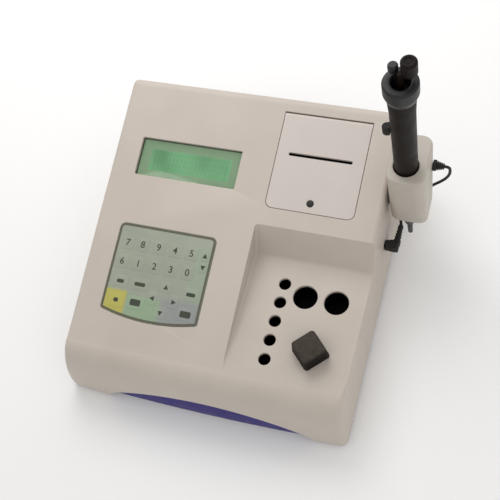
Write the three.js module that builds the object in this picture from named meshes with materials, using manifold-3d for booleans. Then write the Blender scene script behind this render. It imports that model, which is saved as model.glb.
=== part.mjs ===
// Benchtop coagulation analyser with a keypad, a display, a strip printer, warmed tube wells
// and an electronic pipette that stands in a side holster.
// Millimetres, +Z up. Case frame: X to the right of the casing, Y to its back, Z from the table.
import * as THREE from 'three';
import { mergeVertices } from 'three/addons/utils/BufferGeometryUtils.js';
import Module from 'manifold-3d';

const wasm = await Module();
wasm.setup();

// ---- driving dimensions ----------------------------------------------------------------
const gap = 0.3;                  // clearance between neighbouring pieces
const caseWidth = 256;
const caseDepth = 276;
const wall = 3;                   // moulded wall of the upper case
const underside = 4;              // height of the case and tray above the table
const floorHeight = 60;           // recess floor and front shoulder
const slope = THREE.MathUtils.degToRad(11.7);   // tilt of the main panel
const shoulderSet = 28;           // how far the shoulder sits behind the foremost point
const cornerRadius = 6;           // plan radius of the upright corners
const flare = 4;                  // how far each side wall leans out below the floor height
const bow = 4;                    // how far the front swells forward at its middle
const edgeRound = 4;              // rounding of the long side edges

const halfWidth = caseWidth / 2;
const halfDepth = caseDepth / 2;
const shoulderY = shoulderSet - halfDepth;
const frontBulgeBase = 8;         // height where the front curve becomes vertical
const panelRun = halfDepth - shoulderY;
const backHeight = floorHeight + panelRun * Math.tan(slope);

// recess with the wells, at the right front
const recessLeft = 20.5;
const recessBack = 1.7;
const recessWallTilt = THREE.MathUtils.degToRad(57);

// panel features, in panel coordinates: x as in the case, s down the slope from the back edge
const displaySize = { x: 97, s: 36, centreX: -54.8, centreS: 76 };
const keypadSize = { x: 92.5, straight: 79.7, bulge: 6, centreX: -56.75, top: 140.9, corner: 5 };
const coverSize = { x: 80, s: 89.4, centreX: 65, top: 15.3, thickness: 3 };
const slotAlongCover = 38.5;
const slotSize = { x: 58, s: 3 };

// wells in the recess floor
const smallWell = { radius: 5, x: 54.3, firstY: -21.65, pitch: 17.67, count: 5 };
const largeWell = { radius: 10.5, y: -30.3, x: [75, 102.9] };
const cell = { x: 92, y: -78.7, radius: 6 };
const wellBottom = 34;

// pipette and holster
const pipetteAxis = { x: 146, y: 68 };
const handleBottom = 100;
const handleTop = 240;
const collarTop = 259;
const holsterTop = 141;
const holsterBottom = 60;
const tipBottom = 20;
const socket = { y: 40, z: 41.5 };

// ---- helpers -----------------------------------------------------------------------------
// One welded, outward-facing triangle mesh from any three.js geometry.
function weld(geometry) {
  const bare = geometry.clone();
  bare.deleteAttribute('normal');
  bare.deleteAttribute('uv');
  const merged = mergeVertices(bare, 1e-4);
  const at = merged.attributes.position;
  const source = merged.index.array;
  const faces = [];
  let volume = 0;
  const p = [0, 1, 2].map(() => new THREE.Vector3());
  for (let i = 0; i < source.length; i += 3) {
    const [a, b, c] = [source[i], source[i + 1], source[i + 2]];
    if (a === b || b === c || c === a) continue;
    faces.push(a, b, c);
    [a, b, c].forEach((index, k) => p[k].fromBufferAttribute(at, index));
    volume += p[0].dot(p[1].cross(p[2]));
  }
  if (volume < 0) {
    for (let i = 0; i < faces.length; i += 3) [faces[i], faces[i + 1]] = [faces[i + 1], faces[i]];
  }
  merged.setIndex(faces);
  return merged;
}

function toSolid(geometry) {
  const welded = weld(geometry);
  const vertProperties = new Float32Array(welded.attributes.position.array);
  const triVerts = new Uint32Array(welded.index.array);
  return new wasm.Manifold(new wasm.Mesh({ numProp: 3, vertProperties, triVerts }));
}

function toGeometry(solid) {
  const mesh = solid.getMesh();
  const geometry = new THREE.BufferGeometry();
  geometry.setAttribute('position', new THREE.BufferAttribute(new Float32Array(mesh.vertProperties), 3));
  geometry.setIndex(Array.from(mesh.triVerts));
  return geometry;
}

const cut = (body, ...tools) =>
  toGeometry(tools.reduce((solid, tool) => solid.subtract(toSolid(tool)), toSolid(body)));
const join = (body, ...others) =>
  toGeometry(others.reduce((solid, other) => solid.add(toSolid(other)), toSolid(body)));
const common = (body, other) => toGeometry(toSolid(body).intersect(toSolid(other)));

// Box between two corners.
function box(x0, x1, y0, y1, z0, z1) {
  const geometry = new THREE.BoxGeometry(x1 - x0, y1 - y0, z1 - z0);
  return geometry.translate((x0 + x1) / 2, (y0 + y1) / 2, (z0 + z1) / 2);
}

// Upright cylinder from z0 to z1.
function post(x, y, radius, z0, z1, sides = 16) {
  const geometry = new THREE.CylinderGeometry(radius, radius, z1 - z0, sides);
  return geometry.rotateX(Math.PI / 2).translate(x, y, (z0 + z1) / 2);
}

// Cylinder along X.
function bar(x0, x1, y, z, radius, sides = 16) {
  const geometry = new THREE.CylinderGeometry(radius, radius, x1 - x0, sides);
  return geometry.rotateZ(Math.PI / 2).translate((x0 + x1) / 2, y, z);
}

// Turned piece about a vertical axis, from a list of [radius, z] that closes on itself or the axis.
function turned(x, y, profile, sides = 20) {
  const points = profile.map(([radius, z]) => new THREE.Vector2(radius, z));
  if (profile[0][0] > 0) points.push(points[0].clone());
  return new THREE.LatheGeometry(points, sides).rotateX(Math.PI / 2).translate(x, y, 0);
}

// Extrusion of an outline drawn in (y, z), along X.
const sideways = new THREE.Matrix4().makeBasis(
  new THREE.Vector3(0, 1, 0), new THREE.Vector3(0, 0, 1), new THREE.Vector3(1, 0, 0));
function alongX(shape, x0, x1, curveSegments = 5, round = 0, steps = 1) {
  const settings = { depth: x1 - x0 - 2 * round, steps, curveSegments, bevelEnabled: round > 0,
    bevelSize: round, bevelThickness: round, bevelOffset: -round, bevelSegments: 2 };
  return new THREE.ExtrudeGeometry(shape, settings).translate(0, 0, x0 + round).applyMatrix4(sideways);
}

// Extrusion of an outline drawn in (x, y), along Z.
function upright(shape, z0, z1, curveSegments = 4) {
  const settings = { depth: z1 - z0, curveSegments, bevelEnabled: false };
  return new THREE.ExtrudeGeometry(shape, settings).translate(0, 0, z0);
}

function polygon(points) {
  return new THREE.Shape(points.map(([a, b]) => new THREE.Vector2(a, b)));
}

// Rectangle with its own radius at the low-y and the high-y corners.
function roundedRectangle(x0, x1, y0, y1, low, high = low) {
  const shape = new THREE.Shape();
  shape.absarc(x0 + low, y0 + low, low, Math.PI, Math.PI * 1.5);
  shape.absarc(x1 - low, y0 + low, low, Math.PI * 1.5, Math.PI * 2);
  shape.absarc(x1 - high, y1 - high, high, 0, Math.PI / 2);
  shape.absarc(x0 + high, y1 - high, high, Math.PI / 2, Math.PI);
  return shape;
}

// Panel frame: origin on the top back edge, X across, Y up the slope, Z off the surface.
const panelMatrix = new THREE.Matrix4().makeRotationX(slope).setPosition(0, halfDepth, backHeight);
const onPanel = (geometry) => geometry.applyMatrix4(panelMatrix);
// Box on the panel: s0..s1 down the slope, n0..n1 off the surface.
const panelBox = (x0, x1, s0, s1, n0, n1) => box(x0, x1, -s1, -s0, n0, n1);

const object = new THREE.Group();
const caseGroup = new THREE.Group();
object.add(caseGroup);

function material(color, roughness, metalness = 0) {
  return { color, roughness, metalness };
}
const finish = {
  shell: material(0xc4bab0, 0.62),
  tray: material(0x3a3468, 0.55),
  steel: material(0x9a9b9c, 0.38, 0.9),
  darkPlastic: material(0x2d2a28, 0.5),
  greyPlastic: material(0x55555a, 0.5),
  rubber: material(0x1d1c1b, 0.85),
  acrylic: material(0xb9c8b4, 0.12),
  lcd: material(0x80a483, 0.35),
  overlay: material(0x999b8f, 0.55),
  board: material(0x1e5a3a, 0.5),
  heater: material(0x141312, 0.5, 0.6),
  paper: material(0xf1efe8, 0.9),
  copper: material(0xb87848, 0.4, 0.9),
  film: material(0xa8642c, 0.5),
  holster: material(0xb4ada3, 0.6),
  glass: material(0xd8e4ea, 0.1),
};

// Adds a named mesh, in the case frame unless another group is given.
function place(name, geometry, look, group = caseGroup) {
  const mesh = new THREE.Mesh(weld(geometry), new THREE.MeshStandardMaterial(look));
  mesh.name = name;
  group.add(mesh);
  return mesh;
}
function placeOnPanel(name, geometry, look) {
  place(name, onPanel(geometry), look);
}

// ---- casing ------------------------------------------------------------------------------
// Side outline of the case in (y, z), moved in by inset and carried down to bottom.
function sideOutline(inset, bottom) {
  const back = halfDepth - inset;
  const drop = inset / Math.cos(slope);
  const topAt = (y) => floorHeight + (y - shoulderY) * Math.tan(slope) - drop;
  const rounding = 9;
  const shape = new THREE.Shape();
  shape.moveTo(back, bottom);
  shape.lineTo(back, topAt(back) - rounding);
  shape.quadraticCurveTo(back, topAt(back), back - rounding, topAt(back - rounding));
  shape.absellipse(shoulderY, frontBulgeBase, shoulderSet - inset, topAt(shoulderY) - frontBulgeBase,
    Math.PI / 2, Math.PI);
  shape.lineTo(shoulderY - shoulderSet + inset, bottom);
  return shape;
}

function planOutline(inset) {
  return roundedRectangle(inset - halfWidth, halfWidth - inset, inset - halfDepth, halfDepth - inset,
    Math.max(cornerRadius - inset, 1));
}

// Space taken out of the right front, grown by inset where the shell wall follows it.
function recessCut(inset) {
  const wallFoot = recessBack + inset * Math.tan(recessWallTilt / 2);
  const above = 80;
  const outline = polygon([
    [-halfDepth - 20, floorHeight - inset],
    [wallFoot, floorHeight - inset],
    [wallFoot + above / Math.tan(recessWallTilt), floorHeight - inset + above],
    [-halfDepth - 20, floorHeight - inset + above],
  ]);
  return alongX(outline, recessLeft - inset, halfWidth + 20);
}

// Leans the side walls out below the floor height and swells the front at its middle.
function swell(geometry) {
  const tall = 200;
  const low = common(geometry, box(-tall, tall, -tall, tall, -tall, floorHeight));
  const high = common(geometry, box(-tall, tall, -tall, tall, floorHeight, tall));
  for (const piece of [low, high]) {
    const at = piece.attributes.position;
    for (let i = 0; i < at.count; i += 1) {
      const [x, y, z] = [at.getX(i), at.getY(i), at.getZ(i)];
      const lean = flare * Math.max(0, floorHeight - z) / (floorHeight - underside);
      const setBack = Math.max(0, shoulderY - y) / shoulderSet;
      const forward = bow * Math.max(0, 1 - (x / halfWidth) ** 2) * setBack;
      at.setXY(i, x * (1 + lean / halfWidth), y - forward);
    }
  }
  return join(low, high);
}

// The case as a solid block, moved in by inset and standing on bottom.
function caseBlock(inset, bottom, round = 0) {
  const steps = 10;
  const side = alongX(sideOutline(inset, bottom - 20), inset - halfWidth, halfWidth - inset, 5, round, steps);
  return swell(common(side, upright(planOutline(inset), bottom, 140)));
}

function archCut() {
  const halfSpan = 97;
  const rise = 32;
  const middle = 6;
  const shape = new THREE.Shape();
  shape.moveTo(halfSpan, -5);
  shape.absellipse(0, underside, halfSpan, rise, 0, Math.PI);
  shape.lineTo(-halfSpan, -5);
  const settings = { depth: 40, curveSegments: 10, bevelEnabled: false };
  return new THREE.ExtrudeGeometry(shape, settings).rotateX(Math.PI / 2).translate(middle, shoulderY - 4, 0);
}

// Keypad outline: straight sides and top, with a bowed lower edge.
function keypadOutline(inset) {
  const { x, straight, bulge, centreX, top, corner } = keypadSize;
  const [x0, x1] = [centreX - x / 2 + inset, centreX + x / 2 - inset];
  const [y0, y1] = [-top - straight + inset, -top - inset];
  const shape = new THREE.Shape();
  shape.moveTo(x0, y0);
  shape.quadraticCurveTo(centreX, y0 - 2 * bulge, x1, y0);
  shape.lineTo(x1, y1 - corner);
  shape.quadraticCurveTo(x1, y1, x1 - corner, y1);
  shape.lineTo(x0 + corner, y1);
  shape.quadraticCurveTo(x0, y1, x0, y1 - corner);
  return shape;
}

const coverLeft = coverSize.centreX - coverSize.x / 2;
const coverRight = coverSize.centreX + coverSize.x / 2;
const coverBottom = coverSize.top + coverSize.s;
const hingeRadius = 3;
const hinge = { s: coverSize.top + hingeRadius, n: -hingeRadius };
const lugWidth = 4;
const hingeBackGap = 0.8;

const screwPlaces = [-1, 1].flatMap((side) => [-92, 124].map((y) => [side * 117, y]));
const footPlaces = [-1, 1].flatMap((side) => [-1, 1].map((end) => [side * 104, end * 112]));
const rearOpening = { x0: -95, x1: 95, z0: 14, z1: 70 };
const rearRim = 2.5;

function upperCase() {
  const outside = caseBlock(0, underside, edgeRound);
  const inside = cut(caseBlock(wall, -1), recessCut(wall));
  let shell = cut(outside, recessCut(0), inside);

  const posts = screwPlaces.map(([x, y]) => common(post(x, y, 4.2, 13.9, 120, 10), caseBlock(1, 0)));
  const rim = box(rearOpening.x0 - 3, rearOpening.x1 + 3, halfDepth - wall - rearRim, halfDepth - 1,
    rearOpening.z0 - 3, rearOpening.z1 + 3);
  const lugs = [coverLeft - lugWidth - gap, coverRight + gap]
    .map((x) => onPanel(panelBox(x, x + lugWidth, hinge.s - 4, hinge.s + 4, hinge.n - 4, -1)));
  const bodyOfPosts = common(join(posts[0], ...posts.slice(1)), upright(planOutline(1), 0, 140));
  shell = join(shell, cut(bodyOfPosts, recessCut(1)), rim, ...lugs);

  const wellHoles = [
    ...smallWellPlaces().map(([x, y]) => post(x, y, smallWell.radius + 0.5, 50, 70)),
    ...largeWell.x.map((x) => post(x, largeWell.y, largeWell.radius + 0.5, 50, 70, 24)),
    post(cell.x, cell.y, cell.radius + 2, 50, 70),
  ];
  const { centreX, centreS } = displaySize;
  const panelHoles = [
    panelBox(centreX - displaySize.x / 2, centreX + displaySize.x / 2,
      centreS - displaySize.s / 2, centreS + displaySize.s / 2, -10, 5),
    upright(keypadOutline(-0.4), -1.6, 6, 6),
    panelBox(centreX - 10, centreX + 10, keypadSize.top + 6, keypadSize.top + 9, -10, 0),
    panelBox(coverLeft - 0.4, coverRight + 0.4, coverSize.top - hingeBackGap, coverBottom + 0.5, -10, 5),
  ].map(onPanel);
  const pinEnd = lugWidth - 0.5;
  const pinHole = onPanel(bar(coverLeft - pinEnd, coverRight + pinEnd, -hinge.s, hinge.n, 1.4, 12));
  const pilots = screwPlaces.map(([x, y]) => post(x, y, 1.85, 10, 26, 8));
  const rearHole = box(rearOpening.x0, rearOpening.x1, 120, 145, rearOpening.z0, rearOpening.z1);
  const socketHole = bar(halfWidth - 10, halfWidth + 10, socket.y, socket.z, 4.8);
  shell = cut(shell, archCut(), ...wellHoles, ...panelHoles, pinHole, ...pilots, rearHole, socketHole);
  place('upper_case', shell, finish.shell);
}

function smallWellPlaces() {
  const { x, firstY, pitch, count } = smallWell;
  return Array.from({ length: count }, (_, i) => [x, firstY - i * pitch]);
}

const trayFloor = underside + 3;
const trayBossTop = 13.6;
const boardHeight = 14;
const blockBottom = 30;
const mainBoard = { x0: -112, x1: 4, y0: -100, y1: 26 };
const supply = { x0: -112, x1: -22, y0: 40, y1: 108 };
const blockFeet = [[46, -98], [46, -18], [114, -18]];

function baseTray() {
  const fit = wall + 0.5;
  const frontHeight = 44;
  const sideHeight = 16;
  const lipThickness = 2.4;
  const outer = common(caseBlock(fit, underside), box(-140, 140, -150, 145, underside, frontHeight));
  const inner = caseBlock(fit + lipThickness, trayFloor);
  const aboveSides = box(-140, 140, -118, 145, sideHeight, 60);
  const rearRoom = box(-140, 140, 127, 145, trayFloor, 60);
  let tray = cut(outer, inner, aboveSides, rearRoom);
  const boardPosts = [mainBoard.x0 + 6, mainBoard.x1 - 6].flatMap((x) =>
    [mainBoard.y0 + 14, mainBoard.y1 - 6].map((y) => post(x, y, 3, trayFloor - 1, boardHeight - gap, 8)));
  const bosses = screwPlaces.map(([x, y]) => post(x, y, 5.4, trayFloor - 1, trayBossTop, 12));
  const blockPosts = blockFeet.map(([x, y]) => post(x, y, 3.5, trayFloor - 1, blockBottom - gap, 8));
  tray = join(tray, ...boardPosts, ...withinTray(bosses, fit), ...blockPosts);
  const screwHoles = screwPlaces.flatMap(([x, y]) => [post(x, y, 3.6, 0, 7.8, 12), post(x, y, 1.85, 0, 20, 8)]);
  const footHoles = footPlaces.map(([x, y]) => post(x, y, 2.9, 0, 12, 8));
  place('base_tray', cut(tray, ...screwHoles, ...footHoles), finish.tray);
}

// Bosses near the side walls stay inside the tray's own outline.
function withinTray(solids, inset) {
  const limit = upright(planOutline(inset), 0, 60);
  return solids.map((solid) => common(solid, limit));
}

function feetAndScrews() {
  footPlaces.forEach(([x, y], i) => {
    const pad = [[0, 0], [6.4, 0], [7.4, 3.7], [2.5, 3.7], [2.5, 8.5], [0, 8.5]];
    place(`rubber_foot_${i + 1}`, turned(x, y, pad, 16), finish.rubber);
  });
  screwPlaces.forEach(([x, y], i) => {
    const screw = turned(x, y, [[0, 5.2], [3, 5.2], [3, 7.5], [1.5, 7.5], [1.5, 22], [0, 23.5]], 10);
    const slot = box(x - 2.2, x + 2.2, y - 0.4, y + 0.4, 5, 6);
    place(`case_screw_${i + 1}`, cut(screw, slot), finish.steel);
  });
}

// ---- rear connections ------------------------------------------------------------------------
const rearPlate = { y0: 130.2, y1: 132.2 };
const inlet = { x: -68, z: 34, halfX: 13.5, halfZ: 10 };
const powerSwitch = { x: -36, z: 34, halfX: 7.5, halfZ: 11 };
const serial = { x: 46, z: 34, halfX: 9.2, halfZ: 4.6 };

function rearPanel() {
  const plate = box(rearOpening.x0 - 8, rearOpening.x1 + 8, rearPlate.y0, rearPlate.y1, 8, 76);
  const hole = ({ x, z, halfX, halfZ }) =>
    box(x - halfX - gap, x + halfX + gap, 120, 140, z - halfZ - gap, z + halfZ + gap);
  place('rear_panel', cut(plate, hole(inlet), hole(powerSwitch), hole(serial)), finish.steel);

  // mains inlet with a shrouded cavity and three blades
  const { x, z, halfX, halfZ } = inlet;
  const body = join(box(x - halfX, x + halfX, 112, 134, z - halfZ, z + halfZ),
    box(x - halfX - 2, x + halfX + 2, rearPlate.y1 + gap, 134.5, z - halfZ - 2, z + halfZ + 2));
  const cavity = box(x - 11.5, x + 11.5, 119, 140, z - 7.5, z + 7.5);
  const blade = (dx, dz) => box(x + dx - 1, x + dx + 1, 118, 131, z + dz - 2, z + dz + 2);
  place('power_inlet', join(cut(body, cavity), blade(-7, -2), blade(7, -2), blade(0, 4)), finish.darkPlastic);

  // rocker switch
  const s = powerSwitch;
  const frame = join(box(s.x - s.halfX, s.x + s.halfX, 118, 134, s.z - s.halfZ, s.z + s.halfZ),
    box(s.x - s.halfX - 1.5, s.x + s.halfX + 1.5, rearPlate.y1 + gap, 134,
      s.z - s.halfZ - 1.5, s.z + s.halfZ + 1.5));
  const opening = box(s.x - 5.6, s.x + 5.6, 123, 140, s.z - 9.2, s.z + 9.2);
  place('switch_frame', cut(frame, opening), finish.darkPlastic);
  const rockerTilt = THREE.MathUtils.degToRad(8);
  const rockerShape = polygon([[-4, -2.5], [-4, 2.5], [1.5, 8], [3.6, 8.2], [2.4, 0], [3.6, -8.2], [1.5, -8]]);
  const rocker = alongX(rockerShape, s.x - 5, s.x + 5);
  place('switch_rocker', rocker.rotateX(rockerTilt).translate(0, rockerAxis.y, rockerAxis.z), finish.rubber);

  // nine-way serial socket
  const d = serial;
  const flange = box(d.x - 15.4, d.x + 15.4, rearPlate.y1 + gap, 133.5, d.z - 6.2, d.z + 6.2);
  const shellShape = polygon([[-8.2, 4.1], [8.2, 4.1], [7, -4.1], [-7, -4.1]].reverse());
  const nose = new THREE.ExtrudeGeometry(shellShape, { depth: 14, bevelEnabled: false })
    .rotateX(Math.PI / 2).translate(d.x, 137.6, d.z);
  place('serial_port', join(flange, nose), finish.steel);
}
const rockerAxis = { y: 129, z: powerSwitch.z };

// ---- display and keypad ------------------------------------------------------------------------
function display() {
  const { x, s, centreX, centreS } = displaySize;
  const plate = (halfX, halfS, n0, n1) =>
    panelBox(centreX - halfX, centreX + halfX, centreS - halfS, centreS + halfS, n0, n1);
  placeOnPanel('display_window', plate(x / 2 + 3, s / 2 + 3, -5, -wall - gap), finish.acrylic);
  const frame = cut(plate(x / 2 + 3, s / 2 + 4, -10.2, -5.3), plate(x / 2 + 0.4, s / 2 + 0.4, -12, 0));
  placeOnPanel('display_bezel', frame, finish.steel);
  placeOnPanel('lcd_panel', plate(x / 2, s / 2, -8.5, -5.6), finish.lcd);
  const board = join(plate(x / 2 + 2, s / 2 + 6, -12.1, -10.5), plate(x / 2 - 6, 8, -14, -12));
  placeOnPanel('display_board', board, finish.board);
}

function keypad() {
  placeOnPanel('keypad_circuit', upright(keypadOutline(1), -1.3, -0.8, 6), finish.film);
  placeOnPanel('keypad_overlay', upright(keypadOutline(0), -0.5, 0.3, 6), finish.overlay);
}

// ---- strip printer --------------------------------------------------------------------------
const latch = { x: 64.8, s: (halfDepth - 44) / Math.cos(slope), radius: 2.8 };
const pinRadius = 1;
const roll = { s: coverSize.top + 64, n: -25.5, radius: 20, core: 6, half: 28.7 };
const platen = { s: coverSize.top + slotAlongCover, n: -11.8, radius: 4.5, half: 28.5 };
const cheekInside = 30;           // half width between the printer cradle's side cheeks
const cheekOutside = cheekInside + 2;
const gearModule = 0.6;
const platenTeeth = 24;
const pinionTeeth = 12;
const gearSpacing = gearModule * (platenTeeth + pinionTeeth) / 2;
const pinionOffset = 4;           // the pinion sits this far up the slope from the platen
const pinionDrop = Math.sqrt(gearSpacing ** 2 - pinionOffset ** 2);
const pinionAt = { s: platen.s - pinionOffset, n: platen.n - pinionDrop };
const meshAngle = Math.atan2(-pinionDrop, pinionOffset);
const gearFace = { x0: coverSize.centreX + 32.6, x1: coverSize.centreX + 35.4 };

function printerCover() {
  const { x, s, thickness, top } = coverSize;
  const corner = 6;
  const outline = roundedRectangle(-x / 2, x / 2, -top - s, -hinge.s, corner, 0.01);
  const plate = upright(outline, -thickness, 0, 3).translate(coverSize.centreX, 0, 0);
  const barrel = bar(coverLeft, coverRight, -hinge.s, hinge.n, hingeRadius, 16);
  const skirtBox = (inward, n0, n1) => panelBox(coverLeft + inward, coverRight - inward, hinge.s + 4 + inward,
    coverBottom - inward, n0, n1);
  const skirt = cut(skirtBox(2, -6, 0.5 - thickness), skirtBox(4, -7, 0));
  const slotS = top + slotAlongCover;
  const slot = panelBox(coverSize.centreX - slotSize.x / 2, coverSize.centreX + slotSize.x / 2,
    slotS - slotSize.s / 2, slotS + slotSize.s / 2, -8, 3);
  const pinBore = bar(coverLeft - 1, coverRight + 1, -hinge.s, hinge.n, pinRadius + 0.35, 12);
  const latchHole = post(latch.x, -latch.s, latch.radius + 0.35, -8, 3);
  placeOnPanel('printer_cover', cut(join(plate, barrel, skirt), slot, pinBore, latchHole), finish.shell);

  const pin = bar(coverLeft - lugWidth + 1, coverRight + lugWidth - 1, -hinge.s, hinge.n, pinRadius, 10);
  placeOnPanel('cover_hinge_pin', pin, finish.steel);
  const button = turned(latch.x, -latch.s,
    [[0, 0.9], [2.2, 0.9], [2.8, 0.3], [2.8, -3.3], [4, -3.3], [4, -4.6], [1.6, -4.6], [1.6, -9],
      [0, -9]], 14);
  placeOnPanel('cover_latch_button', button, finish.darkPlastic);
}

// Round arc of (y, n) points about a centre, used for the roll's cradle.
function arcPoints(cy, cn, radius, from, to, steps) {
  return Array.from({ length: steps + 1 }, (_, i) => {
    const angle = from + (to - from) * i / steps;
    return [cy + radius * Math.cos(angle), cn + radius * Math.sin(angle)];
  });
}

function printerCradle() {
  const cx = coverSize.centreX;
  const rollRoom = roll.radius + 0.7;
  const top = -11.5;
  const back = -(coverSize.top + 8);
  const front = -(roll.s + rollRoom + 2.4);
  const deepest = roll.n - rollRoom - 2.4;
  const hull = polygon([[front, top], [front, deepest], [back, deepest], [back, top]]);
  const bowl = polygon([
    [-roll.s - rollRoom, 5],
    ...arcPoints(-roll.s, roll.n, rollRoom, Math.PI, Math.PI * 2, 12),
    [-roll.s + rollRoom, 5],
  ]);
  const outer = alongX(hull, cx - cheekOutside, cx + cheekOutside);
  const room = alongX(bowl, cx - cheekInside, cx + cheekInside);
  const behind = box(cx - cheekInside, cx + cheekInside, -roll.s + rollRoom + 2, back - 2, deepest + 2.4, 5);
  const cheeks = [-1, 1].map((side) => {
    const [a, b] = [cx + side * cheekInside, cx + side * cheekOutside];
    return box(Math.min(a, b), Math.max(a, b), -platen.s - 6, -platen.s + 6, top - 1, -6.8);
  });
  const platenRoom = bar(cx - cheekInside, cx + cheekInside, -platen.s, platen.n, platen.radius + 0.7);
  const body = cut(outer, room, behind, platenRoom);
  const bearing = bar(cx - 40, cx + 40, -platen.s, platen.n, 1.9, 12);
  const motorShaftHole = bar(cx + 20, cx + 40, -pinionAt.s, pinionAt.n, 2.2, 12);
  const cradle = cut(join(body, ...cheeks), bearing, motorShaftHole);
  placeOnPanel('printer_cradle', cradle, finish.darkPlastic);
}

// Spur gear with straight-flanked teeth, thinner than half the pitch so that meshed teeth run clear.
function gear(teeth, turnedBy, bore, x0, x1) {
  const pitch = gearModule * teeth / 2;
  const step = Math.PI * 2 / teeth;
  const corners = [[-0.31, pitch - gearModule * 1.25], [-0.11, pitch + gearModule * 0.75],
    [0.11, pitch + gearModule * 0.75], [0.31, pitch - gearModule * 1.25]];
  const points = [];
  for (let tooth = 0; tooth < teeth; tooth += 1) {
    for (const [share, radius] of corners) {
      const angle = (tooth + share) * step + turnedBy;
      points.push([radius * Math.cos(angle), radius * Math.sin(angle)]);
    }
  }
  const shape = polygon(points);
  const hole = new THREE.Path();
  hole.absarc(0, 0, bore, 0, Math.PI * 2);
  shape.holes.push(hole);
  return alongX(shape, x0, x1, 5);
}

function printerWorks() {
  const cx = coverSize.centreX;
  const { core, radius, half } = roll;
  const rollShape = turned(0, 0, [[core, -half], [radius, -half], [radius, half], [core, half]], 28);
  placeOnPanel('paper_roll', rollShape.rotateY(Math.PI / 2).translate(cx, -roll.s, roll.n), finish.paper);

  const axle = bar(cx - 32.2, cx + 36, -platen.s, platen.n, 1.5, 12);
  const rubber = bar(cx - platen.half, cx + platen.half, -platen.s, platen.n, platen.radius, 18);
  placeOnPanel('platen_roller', join(rubber, axle), finish.rubber);

  const wheel = gear(platenTeeth, meshAngle, 1.85, gearFace.x0, gearFace.x1);
  placeOnPanel('platen_gear', wheel.translate(0, -platen.s, platen.n), finish.paper);
  const halfTooth = Math.PI / pinionTeeth;
  const pinion = gear(pinionTeeth, meshAngle + Math.PI + halfTooth, 0.9, gearFace.x0, gearFace.x1)
    .translate(0, -pinionAt.s, pinionAt.n);
  const shaft = bar(cx + 20, gearFace.x1 + 0.5, -pinionAt.s, pinionAt.n, 1, 10);
  placeOnPanel('feed_pinion', join(pinion, shaft), finish.copper);

  // motor inside the cheek; the pinion's shaft runs in its bore and through the cheek
  const motorRadius = 5.6;
  const motor = cut(bar(cx + 8, cx + cheekInside - gap, -pinionAt.s, pinionAt.n, motorRadius, 16),
    bar(cx + 19.5, cx + 40, -pinionAt.s, pinionAt.n, 1.4, 10));
  placeOnPanel('feed_motor', motor, finish.steel);

  const headS = platen.s - platen.radius - 2.2;
  const element = panelBox(cx - 28, cx + 28, headS - 1.6, headS + 1.6, platen.n - 4, platen.n + 2.6);
  const arm = panelBox(cx - 12, cx + 12, headS - 5, headS - 1, platen.n - 3, platen.n);
  placeOnPanel('print_head', join(element, arm), finish.steel);
}

// ---- warmed wells and measuring cell --------------------------------------------------------------
const blockTop = floorHeight - wall - gap;
const cellHousing = { half: 17.5 };

function wells() {
  const margin = 3;
  const [x0, x1, y0, y1] = [42, 118, -104, -12];
  const innerX = cell.x - cellHousing.half - margin;
  const innerY = cell.y + cellHousing.half + margin;
  const outline = polygon([[x0, y0], [innerX, y0], [innerX, innerY], [x1, innerY], [x1, y1], [x0, y1]]);
  const bores = [
    ...smallWellPlaces().map(([x, y]) => post(x, y, smallWell.radius, wellBottom, 70)),
    ...largeWell.x.map((x) => post(x, largeWell.y, largeWell.radius, wellBottom, 70, 24)),
  ];
  place('heating_block', cut(upright(outline, blockBottom, blockTop), ...bores), finish.heater);
  place('heater_pad', box(50.5, innerX - 2, -92, -24, blockBottom - 1.3, blockBottom - gap), finish.film);

  // measuring cell: a bored housing with a lamp and a sensor facing each other across the well
  const { x, y } = cell;
  const half = cellHousing.half;
  const beam = 46;
  const housing = box(x - half, x + half, y - half, y + half, 27, blockTop);
  const well = post(x, y, cell.radius, 31, 70);
  const crossBore = bar(x - half - 1, x + half + 1, y, beam, 2.9, 12);
  place('cell_housing', cut(housing, well, crossBore), finish.darkPlastic);
  const barrel = (side, from, to, radius) => {
    const [a, b] = [x + side * from, x + side * to];
    return bar(Math.min(a, b), Math.max(a, b), y, beam, radius, 12);
  };
  const lamp = (side) => join(barrel(side, 7.5, 15, 2.5), barrel(side, 14, 16.5, 2));
  place('cell_lamp', lamp(-1), finish.glass);
  place('cell_sensor', lamp(1), finish.darkPlastic);

  // square cap turned by an eighth of a turn, with a stub that reaches into the well
  const side = 12.6;
  const capTop = floorHeight + 16.5;
  const capShape = roundedRectangle(-side, side, -side, side, 4);
  const cap = join(taper(upright(capShape, floorHeight + gap, capTop, 3), 0, 0, floorHeight, capTop, 0.88),
    post(0, 0, cell.radius - 0.6, 50, floorHeight + 2, 14));
  place('measuring_cap', cap.rotateZ(Math.PI / 4).translate(x, y, 0), finish.darkPlastic);

  // stirrer below the cell
  const can = post(x, y, 11, trayFloor + gap, 19, 18);
  place('stirrer_motor', join(can, post(x, y, 1, 18, 22, 8)), finish.steel);
  const rotor = cut(turned(x, y, [[0, 19.6], [9, 19.6], [9, 23], [0, 23]], 18), post(x, y, 1.35, 18, 22.4, 8));
  const magnets = [-1, 1].map((s) => post(x + s * 5.5, y, 2.4, 22, 25.5, 10));
  place('stirrer_rotor', join(rotor, ...magnets), finish.steel);
}

// Narrows an upright piece linearly about (cx, cy): full size at z0, share of it at z1.
function taper(geometry, cx, cy, z0, z1, share) {
  const at = geometry.attributes.position;
  for (let i = 0; i < at.count; i += 1) {
    const t = (at.getZ(i) - z0) / (z1 - z0);
    const scale = 1 + (share - 1) * t;
    at.setXY(i, cx + (at.getX(i) - cx) * scale, cy + (at.getY(i) - cy) * scale);
  }
  return geometry;
}

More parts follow.
